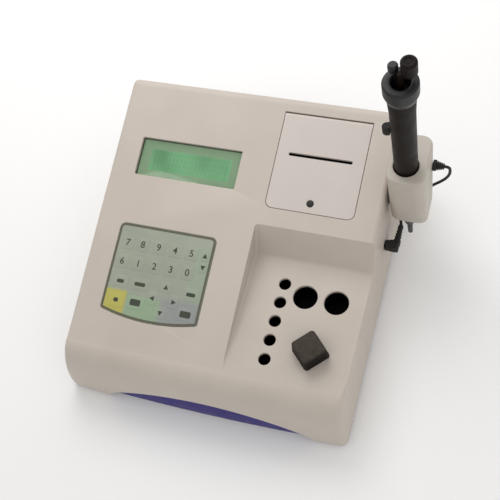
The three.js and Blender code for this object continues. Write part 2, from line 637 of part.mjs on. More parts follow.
// ---- electronics -----------------------------------------------------------------------------
function electronics() {
  const m = mainBoard;
  const chips = [[-90, -60, 14, 14, 4], [-60, -60, 30, 12, 4], [-58, -20, 36, 16, 5], [-16, -40, 12, 30, 9],
    [-95, 0, 10, 20, 12]];
  const parts = chips.map(([x, y, w, d, h]) => box(x - w / 2, x + w / 2, y - d / 2, y + d / 2, 15, 15.6 + h));
  const sheet = box(m.x0, m.x1, m.y0, m.y1, boardHeight, boardHeight + 1.6);
  place('main_board', join(sheet, ...parts), finish.board);

  const s = supply;
  const base = box(s.x0, s.x1, s.y0, s.y1, trayFloor + gap, trayFloor + 4);
  const transformer = box(s.x0 + 12, s.x0 + 50, s.y0 + 16, s.y1 - 16, trayFloor + 3, 50);
  const capacitors = [0, 1].map((i) => post(s.x1 - 24, s.y0 + 20 + i * 24, 9, trayFloor + 3, 42, 14));
  const sink = box(s.x1 - 10, s.x1 - 6, s.y0 + 8, s.y1 - 8, trayFloor + 3, 44);
  place('power_supply', join(base, transformer, ...capacitors, sink), finish.copper);
}

// ---- side holster, lead and pipette ----------------------------------------------------------------
const holster = { x0: 131.5, x1: 163.5, y0: 51, y1: 99, lowY0: 57, lowY1: 90 };
const glandAt = { x: 168, y: 88, z: 112.5 };
const leadRadius = 1.3;

function holsterAndBracket() {
  const { x: px, y: py } = pipetteAxis;
  const h = holster;
  const block = upright(roundedRectangle(h.x0, h.x1, h.y0, h.y1, 9), holsterBottom, holsterTop, 4);
  const at = block.attributes.position;
  const midY = (h.y0 + h.y1) / 2;
  const lowMidY = (h.lowY0 + h.lowY1) / 2;
  const lowShare = (h.lowY1 - h.lowY0) / (h.y1 - h.y0);
  for (let i = 0; i < at.count; i += 1) {
    const t = (holsterTop - at.getZ(i)) / (holsterTop - holsterBottom);
    const narrowed = midY + (lowMidY - midY) * t + (at.getY(i) - midY) * (1 + (lowShare - 1) * t);
    at.setY(i, narrowed);
  }
  const pocket = post(px, py, 10.6, handleBottom - gap, 150, 24);
  const through = post(px, py, 8.2, 50, 110, 20);
  place('holster', cut(block, pocket, through), finish.holster);

  const [inner, outer] = [halfWidth + gap, h.x0 - gap];
  const plate = join(box(inner, outer, 68, 88, 68, 88), box(inner, outer, 72, 84, 86, 94));
  place('holster_bracket', plate, finish.steel);
}

// Route of the pipette's lead: out of the gland, one loop beside the holster, down behind it,
// and below it to the plug's sleeve.
const leadPoints = [
  [172.9, 88, 112.5], [174.9, 88, 112.7], [177.2, 88.8, 110], [177.8, 90, 103], [176.8, 91.5, 94],
  [173.5, 94, 82], [168.5, 96, 71], [162, 96.5, 62], [154, 93, 55.5], [145, 82, 52.5], [137.8, 72, 50],
  [138.5, 66, 48], [140, 59.5, 45.3],
];

function lead() {
  const { x, y, z } = glandAt;
  const collarEnd = x + 4;
  const start = holster.x1 + gap;
  const gland = turned(0, 0, [[0, start], [4.8, start], [4.8, x], [3.2, x + 1], [2.4, collarEnd],
    [0, collarEnd]], 14);
  place('lead_gland', gland.rotateY(Math.PI / 2).translate(0, y, z), finish.rubber);

  const curve = new THREE.CatmullRomCurve3(leadPoints.map((p) => new THREE.Vector3(...p)));
  const section = new THREE.Shape();
  section.absarc(0, 0, leadRadius, 0, Math.PI * 2);
  const cord = new THREE.ExtrudeGeometry(section, { steps: 36, curveSegments: 4, extrudePath: curve });
  place('lead', cord, finish.rubber);

  // right-angle plug: barrel in the case wall, body outside, sleeve towards the lead
  const last = new THREE.Vector3(...leadPoints.at(-1));
  const direction = new THREE.Vector3(138.5, socket.y + 2, socket.z - 3).sub(last);
  const sleeveLength = direction.length();
  direction.normalize();
  const sleeve = new THREE.CylinderGeometry(2.2, 3.6, sleeveLength, 12);
  const turn = new THREE.Quaternion().setFromUnitVectors(new THREE.Vector3(0, -1, 0), direction);
  sleeve.applyQuaternion(turn);
  const middle = last.clone().addScaledVector(direction, sleeveLength / 2 + gap);
  sleeve.translate(middle.x, middle.y, middle.z);
  const bodyStart = halfWidth + 2.2;
  const bodyEnd = bodyStart + 11.5;
  const body = join(bar(bodyStart, bodyEnd - 1, socket.y, socket.z, 5, 14),
    box(bodyStart + 3, bodyEnd, socket.y - 4.4, socket.y + 4.6, socket.z - 4.4, socket.z + 4.6));
  const barrel = bar(halfWidth - 9, bodyStart + 1, socket.y, socket.z, 1.7, 12);
  place('lead_plug', join(body, barrel, sleeve), finish.rubber);

  const ring = turned(0, 0, [[2.1, -10], [7, -10], [7, -gap], [4.4, -gap], [4.4, 0.8], [2.1, 0.8]], 16);
  ring.rotateY(Math.PI / 2).translate(halfWidth - wall, socket.y, socket.z);
  place('side_socket', ring, finish.darkPlastic);
}

const ejectorRod = { x: -4.5, y: 3.4 };
const plungerButton = { x: 6, y: 3 };
const ejectorButton = { x: -5.8, y: 4.2 };

function pipette() {
  const { x, y } = pipetteAxis;
  const bottomRadius = 9.8;
  const middleRadius = 10.2;
  const topRadius = 11.2;
  const room = 8;
  const floorTop = handleBottom + 4;
  const handle = turned(x, y, [[4.4, handleBottom], [bottomRadius - 0.6, handleBottom],
    [bottomRadius, handleBottom + 0.6],
    [middleRadius, handleTop - 18], [topRadius, handleTop], [room, handleTop], [room, floorTop],
    [4.4, floorTop]], 24);
  const rodHole = post(x + ejectorRod.x, y + ejectorRod.y, 1.5, 90, 110, 10);
  place('pipette_handle', cut(handle, rodHole), finish.darkPlastic);

  const collarBottom = handleTop + gap;
  const recess = 7.3;
  const collarRadius = 13.6;
  const collar = turned(x, y, [[0, collarBottom], [11.4, collarBottom], [collarRadius, collarBottom + 7],
    [collarRadius, collarTop - 2], [collarRadius - 1.4, collarTop], [recess + 0.8, collarTop],
    [recess, collarTop - 1.2], [recess, collarBottom + 5], [0, collarBottom + 5]], 24);
  const stemHoles = [post(x, y, 2.6, handleTop, collarTop, 12),
    post(x + ejectorRod.x, y + ejectorRod.y, 1.5, handleTop, collarTop, 10)];
  place('pipette_collar', cut(collar, ...stemHoles), finish.greyPlastic);

  // small hook that rests on the finger
  const restFrom = 187.5;
  const restTo = 197;
  const rest = post(0, 0, 4, restFrom, restTo, 12).scale(1.2, 1, 1).rotateZ(0.3);
  rest.translate(x - 12.5, y + 1, 0);
  const clear = post(x, y, middleRadius + 0.45, restFrom - 1, restTo + 1, 24);
  place('finger_rest', cut(rest, clear), finish.rubber);

  const shaft = turned(x, y, [[0, tipBottom], [2.2, tipBottom], [2.9, 50], [4, 62], [4, 110], [2.2, 110],
    [2.2, 66], [0, 66]], 14);
  place('pipette_shaft', cut(shaft, post(x, y, 0.9, 0, 70, 6)), finish.greyPlastic);

  // plunger: offset button on the stem, flange on the spring, piston rod on the axis
  const flangeBottom = 160.3;
  const stemRadius = 2.2;
  const button = turned(x + plungerButton.x, y + plungerButton.y,
    [[0, 266], [5.4, 266], [6.2, 268], [6.2, 277], [4.8, 280], [0, 280.4]], 18);
  const plunger = join(button, post(x, y, stemRadius, 164, 269, 12), post(x, y, 3.9, flangeBottom, 164.5, 14),
    post(x, y, 1.7, 80, flangeBottom + 1, 10));
  place('plunger', plunger, finish.darkPlastic);

  const turns = 8;
  const perTurn = 8;
  const springRadius = 2.9;
  const wire = 0.45;
  const springBottom = 110.3 + wire;
  const springTop = flangeBottom - gap - wire;
  const helix = Array.from({ length: turns * perTurn + 1 }, (_, i) => {
    const angle = i * Math.PI * 2 / perTurn;
    const rise = (springTop - springBottom) * i / (turns * perTurn);
    const [across, back] = [springRadius * Math.cos(angle), springRadius * Math.sin(angle)];
    return new THREE.Vector3(x + across, y + back, springBottom + rise);
  });
  const wireShape = new THREE.Shape();
  wireShape.absarc(0, 0, wire, 0, Math.PI * 2);
  const spring = new THREE.ExtrudeGeometry(wireShape,
    { steps: turns * perTurn, curveSegments: 3, extrudePath: new THREE.CatmullRomCurve3(helix) });
  place('plunger_spring', spring, finish.steel);

  // ejector: button, rod through the handle, sleeve round the shaft
  const ejector = join(
    turned(x + ejectorButton.x, y + ejectorButton.y,
      [[0, 265], [3.3, 265], [3.9, 266.5], [3.9, 270], [2.9, 272], [0, 272.4]], 14),
    post(x + ejectorRod.x, y + ejectorRod.y, 1.1, handleBottom - 0.4, 267, 10));
  place('ejector_button', ejector, finish.greyPlastic);
  const sleeve = turned(x, y, [[3.3, 42], [4.8, 42], [6.2, 58], [6.2, 94], [7.2, 95], [7.2, 99.2],
    [4.4, 99.2], [4.4, 60]], 16);
  place('ejector_sleeve', sleeve, finish.greyPlastic);
}

upperCase();
baseTray();
feetAndScrews();
rearPanel();
display();
keypad();
printerCover();
printerCradle();
printerWorks();
wells();
electronics();
holsterAndBracket();
lead();
pipette();

// The origin stands on the table, below the middle of the object without its lead.
caseGroup.position.x = -(holster.x1 - halfWidth - flare) / 2;

export default object;
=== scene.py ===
# A benchtop coagulation analyser: a beige casing over a violet tray, with a display, a keypad,
# a strip printer, warmed tube wells, and an electronic pipette that stands in a side holster.
# Lengths are in millimetres in the case's own frame: X to its right, Y to its back, Z from the table.
import math

import bmesh
import bpy
import numpy as np
from mathutils import Matrix, Vector


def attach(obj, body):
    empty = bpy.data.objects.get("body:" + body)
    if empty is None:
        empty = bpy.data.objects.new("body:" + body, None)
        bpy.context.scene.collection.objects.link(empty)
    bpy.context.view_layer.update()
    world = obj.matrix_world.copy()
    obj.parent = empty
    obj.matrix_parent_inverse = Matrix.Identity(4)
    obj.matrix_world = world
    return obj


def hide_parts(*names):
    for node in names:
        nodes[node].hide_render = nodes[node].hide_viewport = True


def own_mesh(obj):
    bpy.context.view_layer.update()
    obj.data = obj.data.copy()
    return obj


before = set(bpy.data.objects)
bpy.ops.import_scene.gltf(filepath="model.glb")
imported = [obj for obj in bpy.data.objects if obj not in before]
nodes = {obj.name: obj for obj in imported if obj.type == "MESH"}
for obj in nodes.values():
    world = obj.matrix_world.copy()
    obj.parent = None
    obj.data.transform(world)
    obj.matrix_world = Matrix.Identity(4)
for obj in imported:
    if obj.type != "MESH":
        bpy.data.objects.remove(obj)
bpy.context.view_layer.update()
scene = bpy.context.scene
millimetre = 0.001
caseShift = -15.75  # the case stands this far left of the object's middle, for the holster


def toFrame(points):
    return (np.asarray(points, float) + [caseShift, 0, 0]) * millimetre


# It looks down on the front right corner, and leans, so that the case stands askew in the view.
camera = dict(
    azimuth=36.45, elevation=62.82, roll=-23.2, distance=866.32, target=(11.53, 8.4, 50), lens=68.32)


def makeCamera(view):
    azimuth, elevation, roll = [math.radians(view[key]) for key in ("azimuth", "elevation", "roll")]
    back = Vector((
        math.sin(azimuth) * math.cos(elevation),
        -math.cos(azimuth) * math.cos(elevation),
        math.sin(elevation)))
    level = Vector((math.cos(azimuth), math.sin(azimuth), 0))
    upright = back.cross(level)
    right = level * math.cos(roll) + upright * math.sin(roll)
    up = upright * math.cos(roll) - level * math.sin(roll)
    data = bpy.data.cameras.new("view")
    data.sensor_width = 36
    data.lens = view["lens"]
    data.clip_end = 20
    holder = bpy.data.objects.new("view", data)
    scene.collection.objects.link(holder)
    target = Vector(toFrame([view["target"]])[0])
    place = target + back * view["distance"] * millimetre
    turn = Matrix((right, up, back)).transposed()
    holder.matrix_world = Matrix.Translation(place) @ turn.to_4x4()
    scene.camera = holder


makeCamera(camera)
print("camera")


def hexColour(code):
    shares = [int(code[i:i + 2], 16) / 255 for i in (0, 2, 4)]
    return [s / 12.92 if s <= 0.04045 else ((s + 0.055) / 1.055) ** 2.4 for s in shares] + [1]


# A node with its settings; a setting is an input where the node has one of that name.
def addNode(tree, kind, settings=None, links=None):
    node = tree.nodes.new(kind)
    for key, value in (settings or {}).items():
        if isinstance(key, int) or key in node.inputs:
            node.inputs[key].default_value = value
        else:
            setattr(node, key, value)
    for key, source in (links or {}).items():
        tree.links.new(source, node.inputs[key])
    return node


# A shader with its output, and the object's own coordinates in metres.
def newMaterial(name, **shader):
    material = bpy.data.materials.new(name)
    material.use_nodes = True
    tree = material.node_tree
    tree.nodes.clear()
    surface = addNode(tree, "ShaderNodeBsdfPrincipled", shader)
    addNode(tree, "ShaderNodeOutputMaterial", links={"Surface": surface.outputs[0]})
    place = addNode(tree, "ShaderNodeTexCoord").outputs["Object"]
    return material, tree, surface, place


def feed(tree, surface, socket, source):
    tree.links.new(source, surface.inputs[socket])


# Noise whose lumps are about size millimetres across.
def noise(tree, place, size, detail=2.0):
    settings = {"Scale": 1 / (size * millimetre), "Detail": detail, "Roughness": 0.55}
    return addNode(tree, "ShaderNodeTexNoise", settings, {"Vector": place}).outputs["Fac"]


def mapTo(tree, value, low, high, start=0.3, end=0.7):
    settings = {"From Min": start, "From Max": end, "To Min": low, "To Max": high}
    return addNode(tree, "ShaderNodeMapRange", settings, {"Value": value}).outputs[0]


# Mix of two colours, each a code or another node's output.
def mixColours(tree, share, first, second):
    node = addNode(tree, "ShaderNodeMix", {"data_type": "RGBA"}, {0: share})
    for socket, colour in ((node.inputs[6], first), (node.inputs[7], second)):
        if isinstance(colour, str):
            socket.default_value = hexColour(colour)
        else:
            tree.links.new(colour, socket)
    return node.outputs[2]


def addBump(tree, surface, height, depth):
    settings = {"Strength": 1.0, "Distance": depth * millimetre}
    bump = addNode(tree, "ShaderNodeBump", settings, {"Height": height})
    feed(tree, surface, "Normal", bump.outputs[0])


# One where the surface turns within a short reach, at its edges, and zero on the flats.
def edgeShare(tree, reach):
    bent = addNode(tree, "ShaderNodeBevel", {"samples": 4, "Radius": reach * millimetre}).outputs[0]
    plain = addNode(tree, "ShaderNodeNewGeometry").outputs["Normal"]
    same = addNode(tree, "ShaderNodeVectorMath", {"operation": "DOT_PRODUCT"}, {0: bent, 1: plain})
    return mapTo(tree, same.outputs["Value"], 1, 0, 0.8, 0.995)


# Shades a colour between its two near tones, and lightens the worn edges.
def wornColour(tree, place, look):
    slow = mapTo(tree, noise(tree, place, look.get("patch", 30), 3.0), 0, 1)
    colour = mixColours(tree, slow, look["colour"], look["second"])
    rubbed = mapTo(tree, noise(tree, place, 5), 0, look.get("wear", 0.5))
    worn = addNode(tree, "ShaderNodeMath", {"operation": "MULTIPLY"}, {0: edgeShare(tree, 0.9), 1: rubbed})
    return mixColours(tree, worn.outputs[0], colour, look["worn"])


# Injection-moulded plastic or rubber: fine spark grain, uneven gloss, lighter edges.
def moulded(name, look):
    shader = {"Roughness": look["roughness"], "Specular IOR Level": look.get("shine", 0.5)}
    material, tree, surface, place = newMaterial(name, **shader)
    feed(tree, surface, "Base Color", wornColour(tree, place, look))
    spread = 0.06
    gloss = mapTo(tree, noise(tree, place, 12), look["roughness"] - spread, look["roughness"] + spread)
    feed(tree, surface, "Roughness", gloss)
    addBump(tree, surface, noise(tree, place, look["grain"], 3.0), look["relief"])
    return material


# Cap plastic: dark sides, and a top painted lighter in two mottled browns, a painted highlight where the
# light falls on the top face.
def litTopPlastic(name, look):
    shader = {"Roughness": look["roughness"], "Specular IOR Level": look["shine"]}
    material, tree, surface, place = newMaterial(name, **shader)
    mottle = mapTo(tree, noise(tree, place, 3, 3.0), 0, 1)
    top = mixColours(tree, mottle, look["top"], look["mottle"])
    height = addNode(tree, "ShaderNodeSeparateXYZ", links={"Vector": place}).outputs["Z"]
    # Above this height the colour turns to the lighter top, the painted highlight of the top face.
    level = mapTo(tree, height, 0, 1, look["litTopFrom"] * millimetre, look["litTopTo"] * millimetre)
    feed(tree, surface, "Base Color", mixColours(tree, level, wornColour(tree, place, look), top))
    addBump(tree, surface, noise(tree, place, look["grain"], 3.0), look["relief"])
    return material


# Metal with a drawn or brushed grain along one axis.
def metal(name, look):
    material, tree, surface, place = newMaterial(name, Metallic=1.0)
    feed(tree, surface, "Base Color", wornColour(tree, place, look))
    stretch = addNode(tree, "ShaderNodeMapping", {"Scale": (0.04, 1, 1)}, {"Vector": place})
    grain = noise(tree, stretch.outputs[0], look["grain"], 2.0)
    gloss = mapTo(tree, grain, look["roughness"] - 0.08, look["roughness"] + 0.1)
    feed(tree, surface, "Roughness", gloss)
    addBump(tree, surface, grain, look["relief"])
    return material


# Looks: two near tones, the tone of worn edges, how rough it is, and its grain's size and depth.
caseLook = dict(
    colour="c9bfb5", second="c3b9af", worn="d5ccc3", roughness=0.5, grain=0.7, relief=0.012, patch=60)
# The printer cover takes the casing's plastic in a lighter copy, a painted highlight for the stronger light
# on the cover.
litCoverLook = dict(
    colour="d0c7c1", second="ccc3bc", worn="dad2ca", roughness=0.48, grain=0.7, relief=0.01, patch=50)
trayLook = dict(
    colour="33297a", second="2e256d", worn="4c4584", roughness=0.5, grain=0.7, relief=0.012, shine=0.3)
holsterLook = dict(
    colour="c3bbb1", second="bcb4a9", worn="d2cac1", roughness=0.5, grain=0.6, relief=0.012)
blackLook = dict(
    colour="1a1918", second="201f1d", worn="3a3937", roughness=0.42, grain=0.6, relief=0.01)
charcoalLook = dict(
    colour="130c08", second="17100c", worn="332b26", roughness=0.5, grain=0.5, relief=0.012, shine=0.16)
greyLook = dict(
    colour="19191b", second="1f1f21", worn="48484c", roughness=0.4, grain=0.5, relief=0.01, shine=0.4)
# The cap's top tones are painted lighter than its sides, a painted highlight of the light on the top face.
capLook = dict(
    colour="110e0c", second="191512", worn="37312c", roughness=0.55, grain=0.8, relief=0.02, patch=6,
    shine=0.15, top="3a332e", mottle="4a423b", litTopFrom=74, litTopTo=76)
rubberLook = dict(
    colour="161514", second="1d1c1a", worn="2c2b29", roughness=0.72, grain=0.4, relief=0.02)
nylonLook = dict(
    colour="e6e2d6", second="ddd8ca", worn="f0ede4", roughness=0.4, grain=0.8, relief=0.01)
steelLook = dict(
    colour="a8a9aa", second="9a9b9d", worn="c2c3c4", roughness=0.32, grain=0.5, relief=0.006)
brassLook = dict(
    colour="b8925a", second="a9854f", worn="d2b07a", roughness=0.3, grain=0.4, relief=0.004)
supplyLook = dict(
    colour="b9bbbd", second="aeb0b2", worn="cfd1d2", roughness=0.42, grain=0.7, relief=0.01)
blockLook = dict(
    colour="17171a", second="1e1e21", worn="4a4a4e", roughness=0.45, grain=0.5, relief=0.006)


# Sheet of clear acrylic: a faint green body, and a slight unevenness in its gloss.
def clearAcrylic():
    settings = {"Base Color": hexColour("dfeadd"), "IOR": 1.49, "Transmission Weight": 1.0}
    material, tree, surface, place = newMaterial("Acrylic, clear window", **settings)
    feed(tree, surface, "Roughness", mapTo(tree, noise(tree, place, 6), 0.01, 0.05))
    addBump(tree, surface, noise(tree, place, 9), 0.004)
    return material


def lensGlass():
    settings = {"Base Color": hexColour("e9f1f4"), "IOR": 1.52, "Transmission Weight": 1.0}
    material, tree, surface, place = newMaterial("Glass, lamp envelope", **settings)
    feed(tree, surface, "Roughness", mapTo(tree, noise(tree, place, 2), 0.01, 0.04))
    return material


# Lit liquid crystal: a green that brightens slowly across the glass, whose lighter patches are a painted
# highlight for the streaks of light on the glass, over a fine dot texture.
def liquidCrystal(name, dark, bright, glow):
    material, tree, surface, place = newMaterial(name, Roughness=0.28)
    # The lighter tone in these patches is a painted highlight.
    patch = mapTo(tree, noise(tree, place, 34, 1.0), 0, 1, 0.35, 0.65)
    colour = mixColours(tree, patch, dark, bright)
    feed(tree, surface, "Base Color", colour)
    feed(tree, surface, "Emission Color", colour)
    surface.inputs["Emission Strength"].default_value = glow
    addBump(tree, surface, noise(tree, place, 0.5), 0.002)
    return material


def paper():
    settings = {"Roughness": 0.9, "Sheen Weight": 0.15}
    material, tree, surface, place = newMaterial("Thermal paper", **settings)
    fibres = noise(tree, place, 0.25, 5.0)
    colour = mixColours(tree, fibres, "e9e6dc", "f6f4ee")
    feed(tree, surface, "Base Color", colour)
    addBump(tree, surface, fibres, 0.012)
    return material


# Glass-fibre board: green solder mask over a woven cloth, with paler copper runs under it.
def circuitBoard():
    material, tree, surface, place = newMaterial("FR4 circuit board", Roughness=0.35)
    cloth = {"Scale": 300.0, "Distortion": 0.5}
    weave = addNode(tree, "ShaderNodeTexWave", cloth, {"Vector": place}).outputs["Fac"]
    tracks = {"Scale": 260.0, "feature": "DISTANCE_TO_EDGE"}
    runs = addNode(tree, "ShaderNodeTexVoronoi", tracks, {"Vector": place})
    copper = mapTo(tree, runs.outputs["Distance"], 1, 0, 0.02, 0.06)
    colour = mixColours(tree, copper, "1c5a3a", "3b7f52")
    feed(tree, surface, "Base Color", colour)
    addBump(tree, surface, weave, 0.01)
    return material


def polyimide():
    material, tree, surface, place = newMaterial("Polyimide film", Roughness=0.3)
    tracks = {"Scale": 110.0, "bands_direction": "Y"}
    runs = addNode(tree, "ShaderNodeTexWave", tracks, {"Vector": place}).outputs["Fac"]
    colour = mixColours(tree, mapTo(tree, runs, 0, 1, 0.45, 0.55), "a8642c", "8a4b1e")
    feed(tree, surface, "Base Color", colour)
    addBump(tree, surface, runs, 0.02)
    return material


finishes = {
    "case_plastic": moulded("ABS, beige casing", caseLook),
    "tray_plastic": moulded("ABS, violet tray", trayLook),
    "steel": metal("Stainless steel, brushed", steelLook),
    "black_plastic": moulded("Polycarbonate, black", blackLook),
    "charcoal_plastic": moulded("ABS, charcoal", charcoalLook),
    "grey_plastic": moulded("Polyamide, dark grey", greyLook),
    "black_rubber": moulded("Rubber, black", rubberLook),
    "clear_window": clearAcrylic(),
    "lens_glass": lensGlass(),
    "lcd_green": liquidCrystal("LCD surround, pale green", "9fb99c", "a8c0a3", 0.3),
    "board_green": circuitBoard(),
    "amber_film": polyimide(),
    "paper_white": paper(),
    "white_nylon": moulded("Nylon, natural", nylonLook),
    "brass": metal("Brass, machined", brassLook),
    "supply_metal": metal("Aluminium, plain", supplyLook),
    "block_aluminium": metal("Anodised aluminium, black", blockLook),
    "holster_plastic": moulded("ABS, beige holster", holsterLook),
}
print("materials")


# A mesh from points in the case's millimetres: doubled points joined, faces turned outward.
def meshObject(name, points, faces, smooth=38):
    mesh = bpy.data.meshes.new(name)
    mesh.from_pydata(toFrame(points).tolist(), [], faces)
    solid = bmesh.new()
    solid.from_mesh(mesh)
    bmesh.ops.remove_doubles(solid, verts=solid.verts, dist=1e-7)
    bmesh.ops.recalc_face_normals(solid, faces=solid.faces)
    solid.to_mesh(mesh)
    solid.free()
    mesh.shade_smooth()
    mesh.set_sharp_from_angle(angle=math.radians(smooth))
    piece = bpy.data.objects.new(name, mesh)
    scene.collection.objects.link(piece)
    return piece


# Faces between neighbouring rows of points; each row is a closed loop, and the end rows are filled.
def skinFaces(rows, start=0, filled=True):
    count, across = rows.shape[:2]
    index = start + np.arange(count * across).reshape(count, across)
    beside = np.roll(index, -1, axis=1)
    faces = np.stack([index[:-1], beside[:-1], beside[1:], index[1:]], axis=-1).reshape(-1, 4).tolist()
    return faces + [index[0][::-1].tolist(), index[-1].tolist()] * filled


# One object from several such skins.
def skin(name, *stacks, filled=True, smooth=38):
    points = []
    faces = []
    for rows in stacks:
        faces += skinFaces(np.asarray(rows, float), len(points), filled)
        points += np.asarray(rows, float).reshape(-1, 3).tolist()
    return meshObject(name, points, faces, smooth)


# A line of corners (a, b, radius) with each corner rounded by an arc of its radius.
def rounded(corners, closed=True, steps=6):
    points = []
    for i, (a, b, radius) in enumerate(corners):
        here = np.array([a, b], float)
        if radius <= 0 or (not closed and i in (0, len(corners) - 1)):
            points.append(here)
            continue
        ways = [np.array(corners[j % len(corners)][:2], float) - here for j in (i - 1, i + 1)]
        before, after = [way / np.linalg.norm(way) for way in ways]
        half = math.acos(np.clip(before @ after, -1, 1)) / 2
        middle = before + after
        centre = here + middle / np.linalg.norm(middle) * radius / math.sin(half)
        first = here + before * radius / math.tan(half) - centre
        last = here + after * radius / math.tan(half) - centre
        start = math.atan2(first[1], first[0])
        turn = (math.atan2(last[1], last[0]) - start + math.pi) % (2 * math.pi) - math.pi
        angles = start + turn * np.linspace(0, 1, steps + 1)
        points += list(centre + radius * np.stack([np.cos(angles), np.sin(angles)], axis=1))
    return np.array(points)


def rectangle(x0, x1, y0, y1, radius, steps=6):
    return rounded([(x0, y0, radius), (x1, y0, radius), (x1, y1, radius), (x0, y1, radius)], steps=steps)


def centred(x, y, halfX, halfY, radius, steps=6):
    return rectangle(x - halfX, x + halfX, y - halfY, y + halfY, radius, steps)


# Moves a counter-clockwise outline inward by a distance, which may be negative.
def inset(outline, distance):
    along = np.roll(outline, -1, axis=0) - outline
    normal = np.stack([-along[:, 1], along[:, 0]], axis=1)
    normal /= np.linalg.norm(normal, axis=1)[:, None]
    both = normal + np.roll(normal, 1, axis=0)
    return outline + both * distance / np.maximum((both ** 2).sum(axis=1) / 2, 0.3)[:, None]


def atHeight(outline, z):
    return np.column_stack([outline, np.full(len(outline), z)])


# Rounded lip of an opening: how far out and how far below the surface, from its foot up.
def lipCurve(lip, count):
    return [(lip * (1 - math.cos(a)), lip * (1 - math.sin(a))) for a in np.linspace(0, math.pi / 2, count)]


# Rows of an upright block over an outline, with its lower and upper edges rounded.
def blockRows(outline, z0, z1, low=0.0, high=0.0, steps=4):
    angles = np.linspace(0, math.pi / 2, steps + 1)
    below, above = angles if low else angles[:1], angles if high else angles[:1]
    stations = [(low * (1 - math.sin(a)), z0 + low * (1 - math.cos(a))) for a in below]
    stations += [(high * (1 - math.cos(a)), z1 - high * (1 - math.sin(a))) for a in above]
    return np.array([atHeight(inset(outline, d), z) for d, z in stations])


# Rows of a turned piece about the upright axis at (x, y), from its profile of (radius, z).
def turnedRows(profile, x=0.0, y=0.0, sides=64):
    profile = np.asarray(profile, float)
    angles = np.linspace(0, 2 * math.pi, sides, endpoint=False)
    circle = np.stack([np.cos(angles), np.sin(angles), np.zeros(sides)], axis=1)
    centres = np.column_stack([np.full(len(profile), x), np.full(len(profile), y), profile[:, 1]])
    return profile[:, None, :1] * circle + centres[:, None]


# Turned piece whose profile closes on the axis, or on itself when it is a ring.
def turned(name, corners, x=0.0, y=0.0, sides=64, place=None, smooth=38):
    ring = corners[0][0] > 0
    profile = rounded(corners, closed=ring)
    if ring:
        profile = np.vstack([profile, profile[:1]])
    rows = turnedRows(profile, x, y, sides)
    return skin(name, rows if place is None else place(rows), filled=False, smooth=smooth)


# Plain round bar from z0 to z1 with its end edges rounded.
def bar(name, radius, z0, z1, low=0.0, high=0.0, **more):
    return turned(name, [(0, z0, 0), (radius, z0, low), (radius, z1, high), (0, z1, 0)], **more)


# Local points (x, up the slope, off the surface) on the main panel, which starts at its top back edge.
slope = math.radians(11.7)
panelStart = (138.0, 111.357)


def onPanel(rows):
    x, up, off = np.moveaxis(np.asarray(rows, float), -1, 0)
    y = panelStart[0] + up * math.cos(slope) - off * math.sin(slope)
    z = panelStart[1] + up * math.sin(slope) + off * math.cos(slope)
    return np.stack([x, y, z], axis=-1)


# Turns upright rows so that their Z runs along X, from a start at (y, z).
def alongX(rows, y=0.0, z=0.0):
    a, b, height = np.moveaxis(np.asarray(rows, float), -1, 0)
    return np.stack([height, a + y, b + z], axis=-1)


def alongY(rows, x=0.0, z=0.0):
    a, b, height = np.moveaxis(np.asarray(rows, float), -1, 0)
    return np.stack([a + x, height, b + z], axis=-1)


# Turns rows about the upright axis by an angle in radians, then moves them to (x, y).
def turnAndMove(rows, turn, x, y):
    a, b, height = np.moveaxis(rows, -1, 0)
    across, along = math.cos(turn), math.sin(turn)
    return np.stack([x + a * across - b * along, y + a * along + b * across, height], axis=-1)


# Replaces a piece's mesh by what its modifiers make of it.
def settle(piece):
    graph = bpy.context.evaluated_depsgraph_get()
    result = bpy.data.meshes.new_from_object(piece.evaluated_get(graph))
    spent = piece.data
    piece.modifiers.clear()
    piece.data = result
    bpy.data.meshes.remove(spent)
    return piece


# Joins, cuts or keeps the common part of a piece with another, which is used up.
def combine(piece, other, operation="DIFFERENCE"):
    step = piece.modifiers.new("combine", "BOOLEAN")
    step.operation = operation
    step.solver = "EXACT"
    step.object = other
    settle(piece)
    spent = other.data
    bpy.data.objects.remove(other)
    bpy.data.meshes.remove(spent)
    return piece


# Merges the flat faces that cutting left behind, rounds the sharp edges, and keeps flats flat.
def soften(piece, width, angle=36, segments=2):
    solid = bmesh.new()
    solid.from_mesh(piece.data)
    bmesh.ops.remove_doubles(solid, verts=solid.verts, dist=2e-6)
    bmesh.ops.dissolve_limit(solid, angle_limit=math.radians(0.4), verts=solid.verts, edges=solid.edges)
    solid.to_mesh(piece.data)
    solid.free()
    piece.data.shade_smooth()
    bevel = piece.modifiers.new("edges", "BEVEL")
    bevel.width = width * millimetre
    bevel.segments = segments
    bevel.limit_method = "ANGLE"
    bevel.angle_limit = math.radians(angle)
    bevel.use_clamp_overlap = True
    bevel.miter_outer = "MITER_ARC"
    return steadyNormals(settle(piece), limit=50)


# Shades each corner by its neighbouring faces weighed by their size, so that large flats stay flat.
def steadyNormals(piece, limit):
    mesh = piece.data
    mesh.shade_smooth()
    count = len(mesh.polygons)
    normal = np.zeros(count * 3)
    area = np.zeros(count)
    sides = np.zeros(count, int)
    corners = np.zeros(len(mesh.loops), int)
    mesh.polygons.foreach_get("normal", normal)
    mesh.polygons.foreach_get("area", area)
    mesh.polygons.foreach_get("loop_total", sides)
    mesh.loops.foreach_get("vertex_index", corners)
    normal = normal.reshape(-1, 3)
    owner = np.repeat(np.arange(count), sides)
    order = np.argsort(corners, kind="stable")
    groups = np.split(order, np.flatnonzero(np.diff(corners[order])) + 1)
    shading = normal[owner]
    nearby = math.cos(math.radians(limit))
    for group in groups:
        around = normal[owner[group]]
        weight = (around @ around.T > nearby) * area[owner[group]][None]
        blended = weight @ around
        shading[group] = blended / np.maximum(np.linalg.norm(blended, axis=1), 1e-12)[:, None]
    mesh.normals_split_custom_set(shading.tolist())
    return piece


# Gives a piece its finish and its body, and hides the plain solids that it stands for.
def finishPiece(piece, slot, body, *stands, material=None):
    piece.data.materials.clear()
    piece.data.materials.append(material or finishes[slot])
    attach(piece, body)
    if stands:
        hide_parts(*stands)
    return piece


